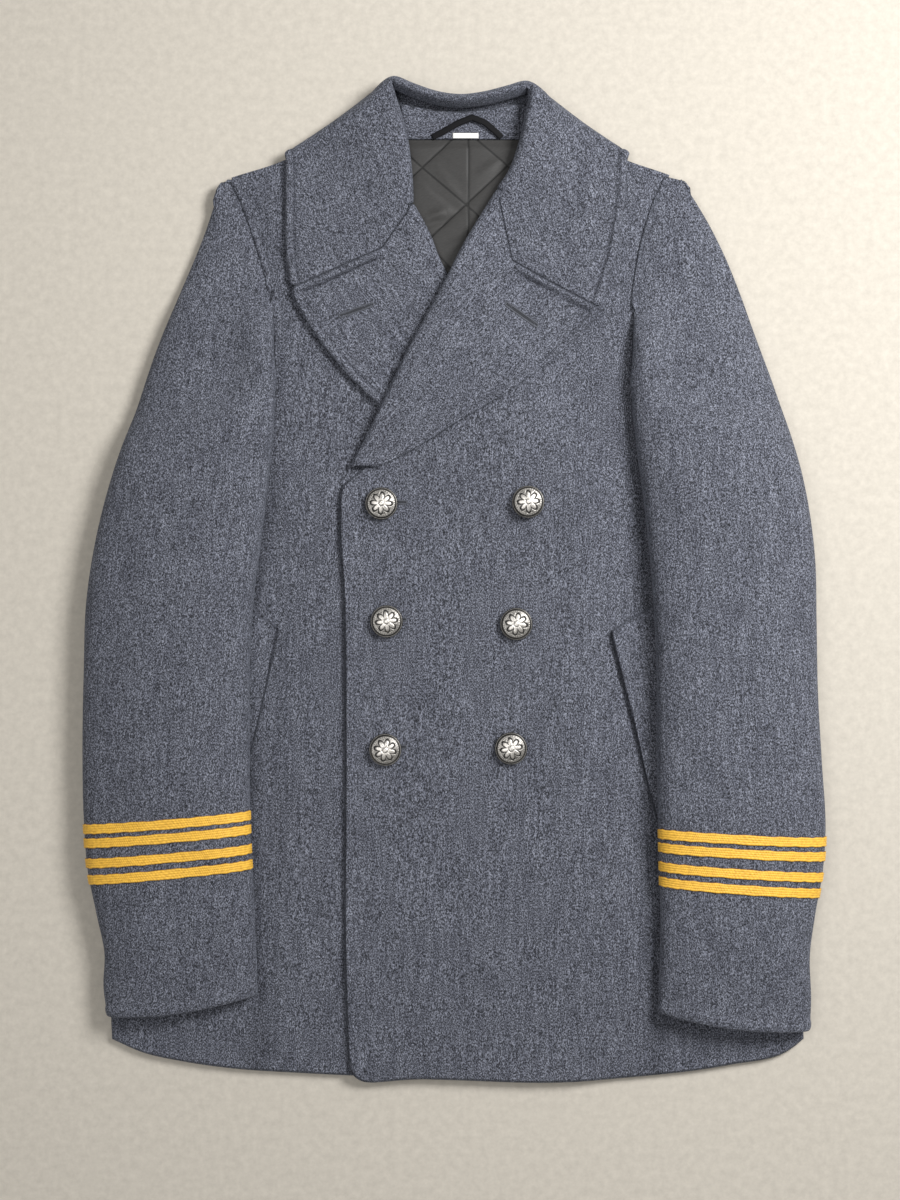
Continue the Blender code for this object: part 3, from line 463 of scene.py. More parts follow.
def swells(x, y):
    """The slow unevenness of cloth that has been smoothed by hand."""
    first = np.sin(x / 41.0 + 0.7) * np.sin(y / 63.0 + 1.9)
    second = np.sin((x + 0.6 * y) / 27.0 + 0.4) * np.sin((0.3 * x - y) / 58.0)
    third = np.sin((0.8 * x - 0.5 * y) / 19.0 + 2.1) * np.sin(y / 36.0)
    return 0.38 * first + 0.26 * second + 0.12 * third


# Plans of the panels


def rows_plan(rows, v, u):
    """Straight rows between the two edges that the table gives."""
    rows = np.array(rows, float)
    middle = (rows[:, :2] + rows[:, 2:4]) / 2
    read = smooth(np.concatenate([middle, rows], axis=1), v)[:, 2:]
    u = np.asarray(u)[None, :, None]
    return read[:, None, :2] * (1 - u) + read[:, None, 2:4] * u, read


def meet_line(plan, row, target_y, reach):
    """Moves the plan's first or last row onto a line, and its neighbours by less."""
    start = plan[row].copy()
    shift = target_y - start[:, 1]
    away = np.abs(plan[:, :, 1] - start[None, :, 1])
    plan[:, :, 1] += shift[None, :] * np.clip(1 - away / reach, 0, 1)


def back_plan(v, u):
    """The back's rows from hem to shoulders and neck."""
    plan, _ = rows_plan(BACK_ROWS, v, u)
    meet_line(plan, 0, line_y(HEM, plan[0, :, 0]) + 1.5, HEM_FADE)
    top = np.array(SHOULDERS[-1] + NECK_EDGE + SHOULDERS[1])
    meet_line(plan, -1, np.interp(plan[-1, :, 0], top[:, 0], top[:, 1]), 170.0)
    return plan


def front_plan(side, v, u):
    """A front's rows from hem to shoulder, with its edge drawn in behind the roll."""
    plan, _ = rows_plan(FRONT_ROWS[side], v, u)
    edge_y = plan[:, 0 if side > 0 else -1, 1]
    inset = ROLL_INSET * beyond(edge_y, FRONT_TUCK_Y[side], 16.0)
    plan[:, :, 0] += side * inset[:, None] * (1 - u if side > 0 else u)
    hem_x, top_x = plan[0, :, 0].copy(), plan[-1, :, 0].copy()
    hang = HEM_HANG * ramp((-20.0 - hem_x) / 60.0) if side > 0 else 0.0
    meet_line(plan, 0, line_y(HEM, hem_x) - hang, HEM_FADE)
    on_neck = side * top_x < side * FRONT_NECK_X[side]
    top_y = np.where(on_neck, FRONT_NECK_Y, line_y(SHOULDERS[side], top_x))
    meet_line(plan, -1, top_y, 50.0)
    return plan


def lapel_plan(side, v, u):
    """Rows from the roll line to the lapel's edge, and the last one bent along the gorge."""
    plan, read = rows_plan(LAPEL_ROWS[side], v, u)
    roll, tip = read[-1, :2], read[-1, 2:4]
    corner = np.array(LAPEL_GORGE[side], float)
    first = np.linalg.norm(corner - roll)
    share = first / (first + np.linalg.norm(tip - corner))
    low = roll + (corner - roll) * np.clip(u / share, 0, 1)[:, None]
    bent = low + (tip - corner) * np.clip((u - share) / (1 - share), 0, 1)[:, None]
    fade = np.clip((v - 0.45) / 0.55, 0, 1) ** 1.5
    return plan + (bent - plan[-1])[None] * fade[:, None, None], bent


# Heights: lower and upper face of each layer


BODY_OUTLINE = np.array(
    [(-266, -600), (-266, -352)]
    + [row[:2] for row in BACK_ROWS[1:]]
    + [(-132, 331), (-60, 371), (4.5, 402), (70, 372), (128, 334)]
    + [row[2:] for row in BACK_ROWS[:0:-1]]
    + [(272, -351), (272, -600)],
    float,
)


def fall_edge(x):
    """Lower edge of the hidden back of the collar."""
    return 302.0 + 29.0 * ((x - NECK_X) / 130.0) ** 2


def back_low(x, y):
    """The back lies on the surface, and on the collar's fall near the neck."""
    return (TURNED_WALL + GAP + 0.3) * ramp((y - fall_edge(x) + 100.0) / 90.0)


def fullness(x, y):
    """How much of the body's air stands at a place: less near its edges and the hem."""
    edge = ramp((depth_inside(x, y, BODY_OUTLINE) - 2.0) / AIR_SHOULDER)
    hem = ramp((y - line_y(HEM, x)) / HEM_FADE)
    return edge * (HEM_AIR_SHARE + (1 - HEM_AIR_SHARE) * hem)


def front_low(x, y):
    """Lower face of the right front: the back, and the air that fills the body."""
    uneven = (swells(x, y) + folds(x, y, BODY_FOLDS)) * settings().fold_depth
    return back_low(x, y) + WALL + GAP + (BODY_AIR + uneven) * fullness(x, y)


def front_right_top(x, y):
    return front_low(x, y) + WALL


class Layers:
    """Outlines of the pieces that others lie on, grids that small things are set on, and the
    fronts' side edges, which the sleeves are sewn to. The body's operator fills in what the
    later ones read."""

    outlines = {}
    grids = {}
    seams = {}


def front_left_low(x, y):
    """Lower face of the left front, which lies on the right front and its lapel."""
    low = front_low(x, y) + (WALL + GAP) * over(x, y, Layers.outlines["front_right"])
    return low + (TURNED_WALL + LEAF_GAP) * over(x, y, Layers.outlines["lapel_right"])


def front_left_top(x, y):
    return front_left_low(x, y) + WALL


def top_of(side):
    """The height function of the upper face of the front on one side."""
    return front_right_top if side < 0 else front_left_top


def sleeve_low(x, y, side):
    """What the under sleeve lies on: the front, or the surface beyond the side."""
    outline = Layers.outlines["front_right" if side < 0 else "front_left"]
    welt = over(x, y, WELTS[side])
    rest = top_of(side)(x, y) + SLEEVE_GAP + (WELT_WALL + GAP) * welt
    inside = ramp((depth_inside(x, y, outline) + SIDE_DROP + 6.0) / SIDE_DROP)
    return FLOOR_CLEAR + (rest - FLOOR_CLEAR) * inside


def lay(plan, height):
    """Plan points with their heights."""
    return np.concatenate([plan, height(plan[..., 0], plan[..., 1])[..., None]], axis=-1)


# Turned pieces: lapels and collar


ROLL_ANGLES = np.radians(np.linspace(-90, 78, 13))


def along(row, start, places):
    """Points of a row from a distance past its first point to its end."""
    marks = np.concatenate([[0.0], np.cumsum(np.linalg.norm(np.diff(row, axis=0), axis=1))])
    wanted = start + (marks[-1] - start) * places
    return np.column_stack([np.interp(wanted, marks, row[:, k]) for k in (0, 1)])


def roll_section(centre, direction, ridge_z, base_z, half):
    """The rounded roll between the piece below and the leaf that lies on top."""
    plan = centre[None] + direction[None] * half * np.cos(ROLL_ANGLES)[:, None]
    middle = (ridge_z + base_z) / 2
    rise = (ridge_z - base_z) / 2
    return np.column_stack([plan, middle + rise * np.sin(ROLL_ANGLES)])


def lapel_points(plan, side, inner):
    """Outer face of a lapel: its roll, then the leaf lying on the front."""
    inward = inward_normals(plan[:, 0], side < 0)
    leaf, halves = [], []
    for row, direction in zip(plan, inward):
        width = np.linalg.norm(row[-1] - row[0])
        half = ROLL_HALF * (0.74 + 0.26 * beyond(width, 20.0, 30.0))
        places = spaced(width, inner, at_start=False)
        leaf.append(np.concatenate([[row[0] - direction * half], along(row, half, places)[1:]]))
        halves.append(half)
    leaf = np.array(leaf)
    round_corner(leaf, -1, -1, LEAF_CORNER)
    away = np.linalg.norm(leaf - leaf[:, :1], axis=-1)
    opened = ramp((leaf[:, :1, 1] - LAPEL_OPEN_Y[side]) / 60.0)
    swell = LAPEL_RISE * opened * (1 - ramp(away / 45.0))
    rest = top_of(side)(leaf[..., 0], leaf[..., 1]) + LEAF_GAP + TURNED_WALL
    reach = np.linalg.norm(leaf - leaf[:, -1:], axis=-1)
    lift = 0.8 * ridge(reach, 0.0, 16.0) * beyond(leaf[:, :1, 1], 110.0, 60.0)
    rest_z = rest + swell + lift
    rolls = []
    for i, half in enumerate(halves):
        base_z = rest[i, 0] - TURNED_WALL - LEAF_GAP - WALL
        rolls.append(roll_section(leaf[i, 0], inward[i], rest_z[i, 0], base_z, half))
    return np.concatenate([np.array(rolls), np.dstack([leaf, rest_z])], axis=1)


def inward_normals(line, toward_right):
    """Unit directions across a line, to the right of its travel or to the left."""
    travel = np.gradient(line, axis=0)
    travel /= np.linalg.norm(travel, axis=1)[:, None]
    across = np.column_stack([travel[:, 1], -travel[:, 0]])
    return across if toward_right else -across


def collar_stations(places):
    """The stations' table read at places round the neck."""
    stations = np.array(COLLAR_STATIONS, float)
    read = hermite(stations, np.linspace(0, 1, len(stations)), places)
    read[:, 4:] = np.clip(read[:, 4:], 0, 1)
    return read


def collar_points(gorges, ends, places, u):
    """Outer face of the collar: stand, ridge and fall at each station round the neck."""
    read = collar_stations(places)
    crest = read[:, :2]
    tangent = np.gradient(crest, places, axis=0)
    tangent /= np.linalg.norm(tangent, axis=1)[:, None]
    inward = np.column_stack([tangent[:, 1], -tangent[:, 0]])
    rows = []
    for i, place in enumerate(places):
        side = -1 if place < 0.5 else 1
        for end, far in ((-1, place), (1, 1 - place)):
            share = 1 - ramp(far / COLLAR_END)
            inward[i] = inward[i] * (1 - share) + ends[end] * share
        inward[i] /= np.linalg.norm(inward[i])
        turn, rise = read[i, 4:]
        edge = read[i, 2:4]
        end = 0 if side < 0 else -1
        straight = crest[i] + (edge - crest[i]) * u[:, None]
        bent = gorges[side] - (read[end, :2] + (read[end, 2:4] - read[end, :2]) * u[:, None])
        near = 1 - ramp(min(place, 1 - place) / COLLAR_GORGE)
        half = ROLL_HALF * (1 - 0.25 * turn)
        centre = crest[i] - inward[i] * half * (1 - turn)
        plan = np.concatenate([[centre], along(straight + bent * near, half, u)[1:]])
        rest = top_of(side)(plan[:, 0], plan[:, 1]) + LEAF_GAP + TURNED_WALL
        away = np.linalg.norm(plan - plan[0], axis=1)
        swell = LAPEL_RISE + (NECK_RISE - LAPEL_RISE) * rise
        swell = swell * (1 - ramp(away / (45.0 + 30 * rise)))
        above = np.column_stack([plan, rest + swell])
        ridge_z = above[0, 2] * (1 - turn) + RIDGE_Z * turn
        drop = ramp(u / 0.3)
        bulge = COLLAR_BULGE * ramp(u / 0.1) * (1 - beyond(u, 0.28, 0.4))
        under_plan = crest[i] + (edge - crest[i]) * (beyond(u, 0.24, 0.76))[:, None]
        under_plan = under_plan - inward[i] * bulge[:, None]
        below = np.column_stack([under_plan, ridge_z * (1 - drop)])
        sunk = (1 - math.cos(math.pi * turn)) / 2
        leaf = above * (1 - sunk) + below * sunk
        line = (edge - crest[i]) / np.linalg.norm(edge - crest[i])
        out_of_crease = np.array([line[1], -line[0]]) * (1 if side < 0 else -1)
        bend = COLLAR_BEND * math.sin(math.pi * turn)
        leaf[:, :2] += out_of_crease * bend * ramp(u / 0.2)[:, None]
        flat_z = leaf[0, 2] - swell[0] - TURNED_WALL - LEAF_GAP - WALL
        base_z = flat_z * (1 - turn) + (STAND_Z + 2.0) * turn
        leaf[0] = (*centre, ridge_z)
        roll = roll_section(centre, inward[i], ridge_z, base_z, half)
        lean = STAND_LEAN * turn * ramp((0.6 - np.sin(ROLL_ANGLES)) / 1.6)
        roll[:, :2] += inward[i] * lean[:, None]
        rows.append(np.concatenate([roll, leaf]))
    return np.array(rows)


# Sleeves


def sleeve_rows(side, places):
    """A sleeve's table read from cuff to shoulder, with its inner edge sewn to the front."""
    rows = np.array(SLEEVE_ROWS[side], float)
    middle = (rows[:, :2] + rows[:, 2:4]) / 2
    read = smooth(np.concatenate([middle, rows], axis=1), places)[..., 2:]
    sewn = Layers.seams[side]
    wanted = np.interp(read[..., 3], sewn[:, 1], sewn[:, 0]) - side * ARMHOLE_LAP
    flush = beyond(read[..., 3], *ARMHOLE_FLUSH)
    read[..., 2] = read[..., 2] * (1 - flush) + wanted * flush
    # From the notch upwards the edge never stops short of the seam
    reaching = side * np.minimum(side * read[..., 2], side * wanted)
    near = beyond(read[..., 3], *ARMHOLE_REACH)
    read[..., 2] = read[..., 2] * (1 - near) + reaching * near
    return read


def sleeve_surface(side, u, v):
    """Outer face of the top sleeve. u runs from the outer edge to the inner, v from the cuff."""
    read = sleeve_rows(side, v)
    outer, inner, full = read[..., :2], read[..., 2:4], read[..., 4]
    angle = np.pi * u
    across = np.cos(angle)
    across = np.sign(across) * np.abs(across) ** SLEEVE_ACROSS
    share = (1 - across) / 2
    plan = outer * (1 - share[..., None]) + inner * share[..., None]
    sag = CUFF_SAG * np.sin(np.pi * share) * ramp(1 - v / 0.12)
    plan = plan - np.stack([0 * sag, sag], axis=-1)
    x, y = plan[..., 0], plan[..., 1]
    high = np.clip(np.sin(angle), 0, 1) ** SLEEVE_UPWARDS
    nearer = share + (0.5 - share) * 0.12
    inner_plan = outer * (1 - nearer[..., None]) + inner * nearer[..., None]
    under = sleeve_low(x, y, side)
    under = np.maximum(under, sleeve_low(inner_plan[..., 0], inner_plan[..., 1], side))
    uneven = (folds(x, y, SLEEVE_FOLDS[side]) + 0.8 * swells(x, y + 40)) * settings().fold_depth
    lying = under + WALL + SLEEVE_GAP + GAP + full * high + uneven * high ** 2
    cap = beyond(inner[..., 1], 185.0, 40.0)
    top = top_of(side)
    seam_z = top(inner[..., 0], inner[..., 1])
    outer_z = sleeve_low(outer[..., 0], outer[..., 1], side) + WALL + GAP + 0.8
    width = np.linalg.norm(outer - inner, axis=-1)
    tight = 1 - beyond(width, 8.0, 14.0)
    outer_z = outer_z * (1 - tight) + (seam_z - 1.0) * tight
    one_side = np.where(u < 0.5, high, 1.0)
    flush = outer_z + (seam_z - outer_z) * one_side
    flush = flush + 0.35 * full * np.clip(np.sin(angle), 0, 1) ** 1.2
    return np.stack([x, y, lying * (1 - cap) + flush * cap], axis=-1)


def under_sleeve_plan(side):
    """Rows from the cuff to the scoop, then a strip beside the back armhole to the shoulder."""
    scoop, strip = SCOOPS[side], STRIPS[side]
    inset = 1.6
    columns, strip_columns = 26, 6
    places = np.linspace(0, 1, 400)
    read = sleeve_rows(side, places)
    underarm_v = np.interp(scoop[0][1], read[:, 1], places)
    inner_v = np.interp(scoop[-1][1], read[:, 3], places)
    rise = 0.004 + 0.996 * spaced(440, 70, at_end=False)
    outer = sleeve_rows(side, underarm_v * rise)[:, :2] + (-side * inset, 0.0)
    inner = sleeve_rows(side, inner_v * rise)[:, 2:4] + (side * inset, 0.0)
    u = np.linspace(0, 1, columns)
    plan = outer[:, None] * (1 - u[None, :, None]) + inner[:, None] * u[None, :, None]
    head = smooth(scoop, np.linspace(0, 1, columns - strip_columns + 1))
    first = np.linspace(0, 1, strip_columns)[:, None]
    head = np.concatenate([outer[-1] * (1 - first) + head[0] * first, head[1:]])
    fade = np.clip((rise - 0.72) / 0.28, 0, 1) ** 1.3
    plan = plan + (head - plan[-1])[None] * fade[:, None, None]
    edge = smooth(strip, np.linspace(0, 1, 40)[1:])
    strip_v = np.interp(edge[:, 1], read[:, 1], places)
    rim = sleeve_rows(side, strip_v)[:, :2] + (-side * inset, 0.0)
    bands = rim[:, None] * (1 - first[None]) + edge[:, None] * first[None]
    rest = np.full((len(edge), columns - strip_columns, 2), np.nan)
    return np.concatenate([plan, np.concatenate([bands, rest], axis=1)])


def flip(grid, side):
    """A grid with its columns turned round on the wearer's left."""
    return grid if side < 0 else grid[:, ::-1]


# Making the meshes


def settings():
    return bpy.context.scene.coat


def metres(points):
    """Points of the tables as places in the scene."""
    return (np.asarray(points, float) - CENTRE) * MM


def outward(points):
    """Unit normals of a grid, on the side that its faces' fronts show."""
    down = np.gradient(points, axis=0)
    across = np.gradient(points, axis=1)
    normal = np.cross(across, down)
    return normal / np.maximum(np.linalg.norm(normal, axis=-1), 1e-9)[..., None]


def steps_from(points, axis, from_end):
    """Distance over the cloth from one border of the grid to each point."""
    steps = np.linalg.norm(np.diff(points, axis=axis), axis=-1)
    steps = np.nan_to_num(steps)
    steps = np.flip(steps, axis) if from_end else steps
    total = np.cumsum(steps, axis=axis)
    pad = [(1, 0) if k == axis else (0, 0) for k in (0, 1)]
    total = np.pad(total, pad)
    return np.flip(total, axis) if from_end else total


def edge_distances(points):
    """Distances from the first and last column, then from the first and last row."""
    cases = ((1, False), (1, True), (0, False), (0, True))
    return [steps_from(points, axis, from_end) for axis, from_end in cases]


def rounding(distance, thickness):
    """How far each face draws in near a rounded edge."""
    radius = 0.5 * thickness
    inset = np.clip(0.86 * radius - 0.86 * distance, 0, radius)
    return radius - np.sqrt(radius * radius - inset * inset)


def stitched_edge(distance, width, puff, groove):
    """Relief of a topstitched edge: a soft band, then the groove that the stitches draw."""
    swell = puff * np.sin(np.pi * np.clip(distance / width, 0, 1))
    return swell - groove * ridge(distance, width)


def points_of(made):
    """An object's own points, a row for each."""
    flat = np.empty(len(made.data.vertices) * 3)
    made.data.vertices.foreach_get("co", flat)
    return flat.reshape(-1, 3)


def move_points(made, points):
    """Moves an object's points to places of the tables."""
    made.data.vertices.foreach_set("co", metres(points).reshape(-1))
    made.data.update()


def add_field(made, name, values):
    """A point attribute from 0 to 1 that a material reads."""
    field = made.data.attributes.new(name, "FLOAT", "POINT")
    field.data.foreach_set("value", np.clip(values, 0, 1).astype(np.float32))


def lay_grid(name, points):
    """A primitive grid whose points are laid onto the given ones, bare where one is missing."""
    row_count, column_count = points.shape[:2]
    bpy.ops.object.select_all(action="DESELECT")
    bpy.ops.mesh.primitive_grid_add(
        x_subdivisions=column_count - 1, y_subdivisions=row_count - 1, size=2.0
    )
    made = bpy.context.object
    made.name = name
    made.data.name = name
    start = points_of(made)
    j = np.rint((start[:, 0] + 1) / 2 * (column_count - 1)).astype(int)
    i = np.rint((start[:, 1] + 1) / 2 * (row_count - 1)).astype(int)
    there = np.isfinite(points[i, j]).all(axis=-1)
    move_points(made, np.nan_to_num(points[i, j]))
    if not there.all():
        bpy.ops.object.mode_set(mode="EDIT")
        bpy.ops.mesh.select_mode(type="VERT")
        bpy.ops.mesh.select_all(action="DESELECT")
        bpy.ops.object.mode_set(mode="OBJECT")
        made.data.vertices.foreach_set("select", ~there)
        bpy.ops.object.mode_set(mode="EDIT")
        bpy.ops.mesh.delete(type="VERT")
        bpy.ops.object.mode_set(mode="OBJECT")
    return made, (i[there], j[there])


def finish_piece(made, material, node=None):
    """Smooth shading, material, slot and body of a finished piece."""
    bpy.ops.object.shade_smooth()
    made.data.materials.clear()
    made.data.materials.append(material)
    if node is not None:
        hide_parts(node)
    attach(made, "root")
    return made


def shell(
    node, points, thickness, side, material, slot, relief=0.0, soft=(1, 1, 1, 1), seam_and_shade=0.0
):
    """A cloth wall on a grid: side 1 grows it out of the faces' fronts, -1 behind them.
    relief moves the grid outwards, and the last argument darkens the wool with painted
    shade along edges, grooves, gaps and seams. soft says how far each border is rounded:
    first column, last column, first row, last row."""
    distances = edge_distances(points)
    draw = np.max([rounding(d, thickness) * on for d, on in zip(distances, soft)], axis=0)
    shift = (relief + side * draw)[..., None]
    whole = np.isfinite(points).all()
    points = points + (outward(points) if whole else np.array([0.0, 0.0, 1.0])) * shift
    made, (i, j) = lay_grid("coat_" + node, points)
    add_field(made, "seam_and_shade", np.broadcast_to(seam_and_shade, draw.shape)[i, j])
    group = made.vertex_groups.new(name="wall")
    share = np.round(1 - 2 * draw[i, j] / thickness, 3)
    for value in np.unique(share):
        group.add(np.nonzero(share == value)[0].tolist(), float(value), "REPLACE")
    wall = made.modifiers.new("Cloth wall", "SOLIDIFY")
    wall.thickness = thickness * MM
    wall.offset = side
    wall.use_rim = True
    wall.vertex_group = group.name
    wall.thickness_vertex_group = 0.0
    bpy.ops.object.modifier_apply(modifier=wall.name)
    made.vertex_groups.clear()
    finish_piece(made, material, node)
    Layers.grids[node] = points if side < 0 else points + outward(points) * thickness
    return made


def wool_piece(node, points, wall, side, turn, rests_on, with_pieces=(), **looks):
    """A wool panel with its grain at a turn in degrees."""
    made = shell(node, points, wall, side, wool_material(turn), "wool_melton", **looks)


def height_at(node, x, y):
    """Height of a laid piece's outer face at a place, from the four nearest grid points."""
    grid = Layers.grids[node].reshape(-1, 3)
    away = np.hypot(grid[:, 0] - x, grid[:, 1] - y)
    near = np.argsort(away)[:4]
    weight = 1 / (away[near] + 0.05)
    return float((grid[near, 2] * weight).sum() / weight.sum())


def set_on(made, node, plan, rise):
    """Moves an object's points over a plan, each at its own rise from a laid piece."""
    heights = np.array([height_at(node, x, y) for x, y in plan])
    move_points(made, np.column_stack([plan, heights + rise]))


# Materials


def tinted(colour, factor):
    return tuple(min(1.0, part * factor) for part in colour)


class Shading:
    """One material's nodes, with short calls for the kinds that the coat needs."""

    def __init__(self, name):
        self.found = name in bpy.data.materials
        self.material = bpy.data.materials[name] if self.found else bpy.data.materials.new(name)
        self.material.use_nodes = True
        self.tree = self.material.node_tree
        self.shader = self.tree.nodes["Principled BSDF"]

    def plug(self, node, inputs):
        """Links each input of a node to another node's output, or sets it to a value."""
        for key, value in inputs.items():
            if isinstance(value, bpy.types.NodeSocket):
                self.tree.links.new(value, node.inputs[key])
            else:
                node.inputs[key].default_value = value

    def new(self, kind, inputs, **choices):
        node = self.tree.nodes.new("ShaderNode" + kind)
        for name, value in choices.items():
            setattr(node, name, value)
        self.plug(node, inputs)
        return node.outputs

    def coordinates(self, scale=(1.0, 1.0, 1.0), turn=0.0):
        """Object coordinates turned, then stretched by scale."""
        place = self.new("TexCoord", {})["Object"]
        inputs = {"Vector": place, "Scale": scale, "Rotation": (0.0, 0.0, turn)}
        return self.new("Mapping", inputs, vector_type="TEXTURE")["Vector"]

    def field(self, name):
        """A point attribute of the mesh."""
        return self.new("Attribute", {}, attribute_name=name)["Fac"]

    def noise(self, place, scale, detail=2.0, rough=0.6):
        inputs = {"Vector": place, "Scale": scale, "Detail": detail, "Roughness": rough}
        return self.new("TexNoise", inputs)["Fac"]

    def colours(self, value, *stops):
        """A colour ramp. A stop is its place and its colour, or one number for a grey."""
        outputs = self.new("ValToRGB", {"Fac": value})
        elements = outputs["Color"].node.color_ramp.elements
        while len(elements) < len(stops):
            elements.new(0.5)
        for element, (place, colour) in zip(elements, stops):
            element.position = place
            element.color = (*(colour if isinstance(colour, tuple) else (colour,) * 3), 1.0)
        return outputs["Color"]

    def times(self, factor, first, second):
        """The first colour multiplied by the second, as far as factor says."""
        inputs = {"Factor": factor, "A": first, "B": second}
        return self.new("Mix", inputs, data_type="RGBA", blend_type="MULTIPLY")["Result"]

    def bump(self, height, strength, distance, below=None):
        inputs = {"Height": height, "Strength": strength, "Distance": distance}
        if below is not None:
            inputs["Normal"] = below
        return self.new("Bump", inputs)["Normal"]

    def maths(self, operation, *values):
        return self.new("Math", dict(enumerate(values)), operation=operation)["Value"]

    def surface(self, colour, normal, rough, **inputs):
        """Plugs the shader. Further inputs are named with _ for each space."""
        self.plug(self.shader, {"Base Color": colour, "Roughness": rough})
        if normal is not None:
            self.plug(self.shader, {"Normal": normal})
        self.plug(self.shader, {key.replace("_", " "): value for key, value in inputs.items()})
        return self.material


def wool_material(turn_degrees):
    """Brushed melton: a dark and light heather that runs with the grain, felted and matt, darkened
    with painted shade where its mesh says.
    """
    made = Shading(f"Wool melton {turn_degrees:+d}")
    if made.found:
        return made.material
    colour = tuple(settings().wool_colour)
    turn = math.radians(turn_degrees)
    grain = made.coordinates((1.0, 1.7, 1.0), turn)
    fleck = made.noise(grain, 1250.0, 3.0, 0.7)
    fibre = made.noise(grain, 2600.0)
    streak = made.noise(made.coordinates((1.0, 14.0, 1.0), turn), 520.0)
    cloud = made.noise(made.coordinates(), 26.0, 3.0)
    dark, middle, light = (tinted(colour, factor) for factor in (0.16, 0.88, 2.8))
    heather = made.colours(fleck, (0.38, dark), (0.5, middle), (0.62, light))
    drawn = made.colours(streak, (0.4, (0.62, 0.62, 0.64)), (0.6, 1.0))
    fine = made.colours(fibre, (0.4, (0.5, 0.5, 0.52)), (0.6, 1.0))
    broad = made.colours(cloud, (0.35, (0.88, 0.88, 0.89)), (0.65, 1.0))
    # Painted shade: the mesh's darkening field takes the wool down to near black along edges,
    # grooves, gaps and seams, and beside the sleeves
    sewn = made.colours(made.field("seam_and_shade"), (0.0, 1.0), (1.0, (0.1, 0.1, 0.12)))
    mixed = heather
    for factor, layer in ((0.8, fine), (0.8, broad), (0.8, drawn), (1.0, sewn)):
        mixed = made.times(factor, mixed, layer)
    normal = made.bump(fibre, 0.35, 0.0004, made.bump(fleck, 0.5, 0.0007))
    return made.surface(
        mixed, normal, 0.92, Specular_IOR_Level=0.2, Sheen_Weight=0.15, Sheen_Roughness=0.5,
        Sheen_Tint=(0.62, 0.68, 0.8, 1.0),
    )


def braid_material():
    """Gold braid: a twisted thread's slant along each rib, read from the band's UV map, with
    painted shade in the furrows between ribs.
    """
    made = Shading("Gold braid")
    if made.found:
        return made.material
    colour = tuple(settings().braid_colour)
    place = made.new("SeparateXYZ", {"Vector": made.new("TexCoord", {})["UV"]})
    across = made.maths("MULTIPLY", place["Y"], math.pi * BRAID_RIBS)
    rib = made.maths("ABSOLUTE", made.maths("SINE", across))
    slant = made.maths("MULTIPLY_ADD", place["X"], BRAID_TWIST, across)
    thread = made.maths("MULTIPLY_ADD", made.maths("SINE", slant), 0.5, 0.5)
    worn = made.noise(made.coordinates(), 420.0, 3.0)
    twist = made.colours(thread, (0.1, tinted(colour, 0.92)), (0.7, tinted(colour, 1.05)))
    # Painted shade: the furrows between the ribs are coloured dark brown
    furrow_shade = made.colours(rib, (0.25, (0.38, 0.25, 0.12)), (0.9, 1.0))
    patch = made.colours(worn, (0.35, (0.72, 0.68, 0.6)), (0.62, 1.0))
    mixed = made.times(0.8, made.times(1.0, twist, furrow_shade), patch)
    return made.surface(mixed, made.bump(thread, 0.4, 0.0003), 0.5, Sheen_Weight=0.05)


def pewter_material():
    """Antique pewter: bright where the relief is rubbed, dark in its recesses."""
    made = Shading("Antique pewter")
    if made.found:
        return made.material
    colour = tuple(settings().pewter_colour)
    worn = made.noise(made.coordinates(), 900.0, 3.0)
    dark, middle, light = (tinted(colour, factor) for factor in (0.08, 0.62, 1.5))
    tone = made.colours(made.field("patina"), (0.1, dark), (0.4, middle), (0.85, light))
    rub = made.colours(worn, (0.35, 0.6), (0.65, 1.0))
    mixed = made.times(0.7, tone, rub)
    return made.surface(mixed, made.bump(worn, 0.25, 0.0003), 0.38, Metallic=0.9)


def satin_material():
    """Dark lining satin, with fine threads across it and darker stitching."""
    made = Shading("Lining satin")
    if made.found:
        return made.material
    colour = tuple(settings().lining_colour)
    fine = made.noise(made.coordinates((8.0, 1.0, 1.0), 0.35), 2200.0)
    tone = made.colours(fine, (0.3, tinted(colour, 0.8)), (0.7, tinted(colour, 1.2)))
    sewn = made.colours(made.field("stitch"), (0.2, 1.0), (0.9, 0.25))
    mixed = made.times(1.0, tone, sewn)
    return made.surface(mixed, made.bump(fine, 0.15, 0.0002), 0.46, Specular_IOR_Level=0.32)


def plain_cloth(name, colour, scale, rough, shine=0.5):
    """Tape, thread or label cloth in one colour, with a fine grain, and the painted shade in the
    buttonholes' slits.
    """
    made = Shading(name)
    if made.found:
        return made.material
    fine = made.noise(made.coordinates(), scale)
    tone = made.colours(fine, (0.3, tinted(colour, 0.75)), (0.7, tinted(colour, 1.15)))
    return made.surface(tone, made.bump(fine, 0.3, 0.0003), rough, Specular_IOR_Level=shine)


# Settings


def colour_setting(name, description, default):
    return FloatVectorProperty(
        name=name, description=description, default=default, subtype="COLOR", min=0.0, max=1.0
    )


def number_setting(name, description, default, low, high, **kind):
    return FloatProperty(
        name=name, description=description, default=default, min=low, max=high, **kind
    )


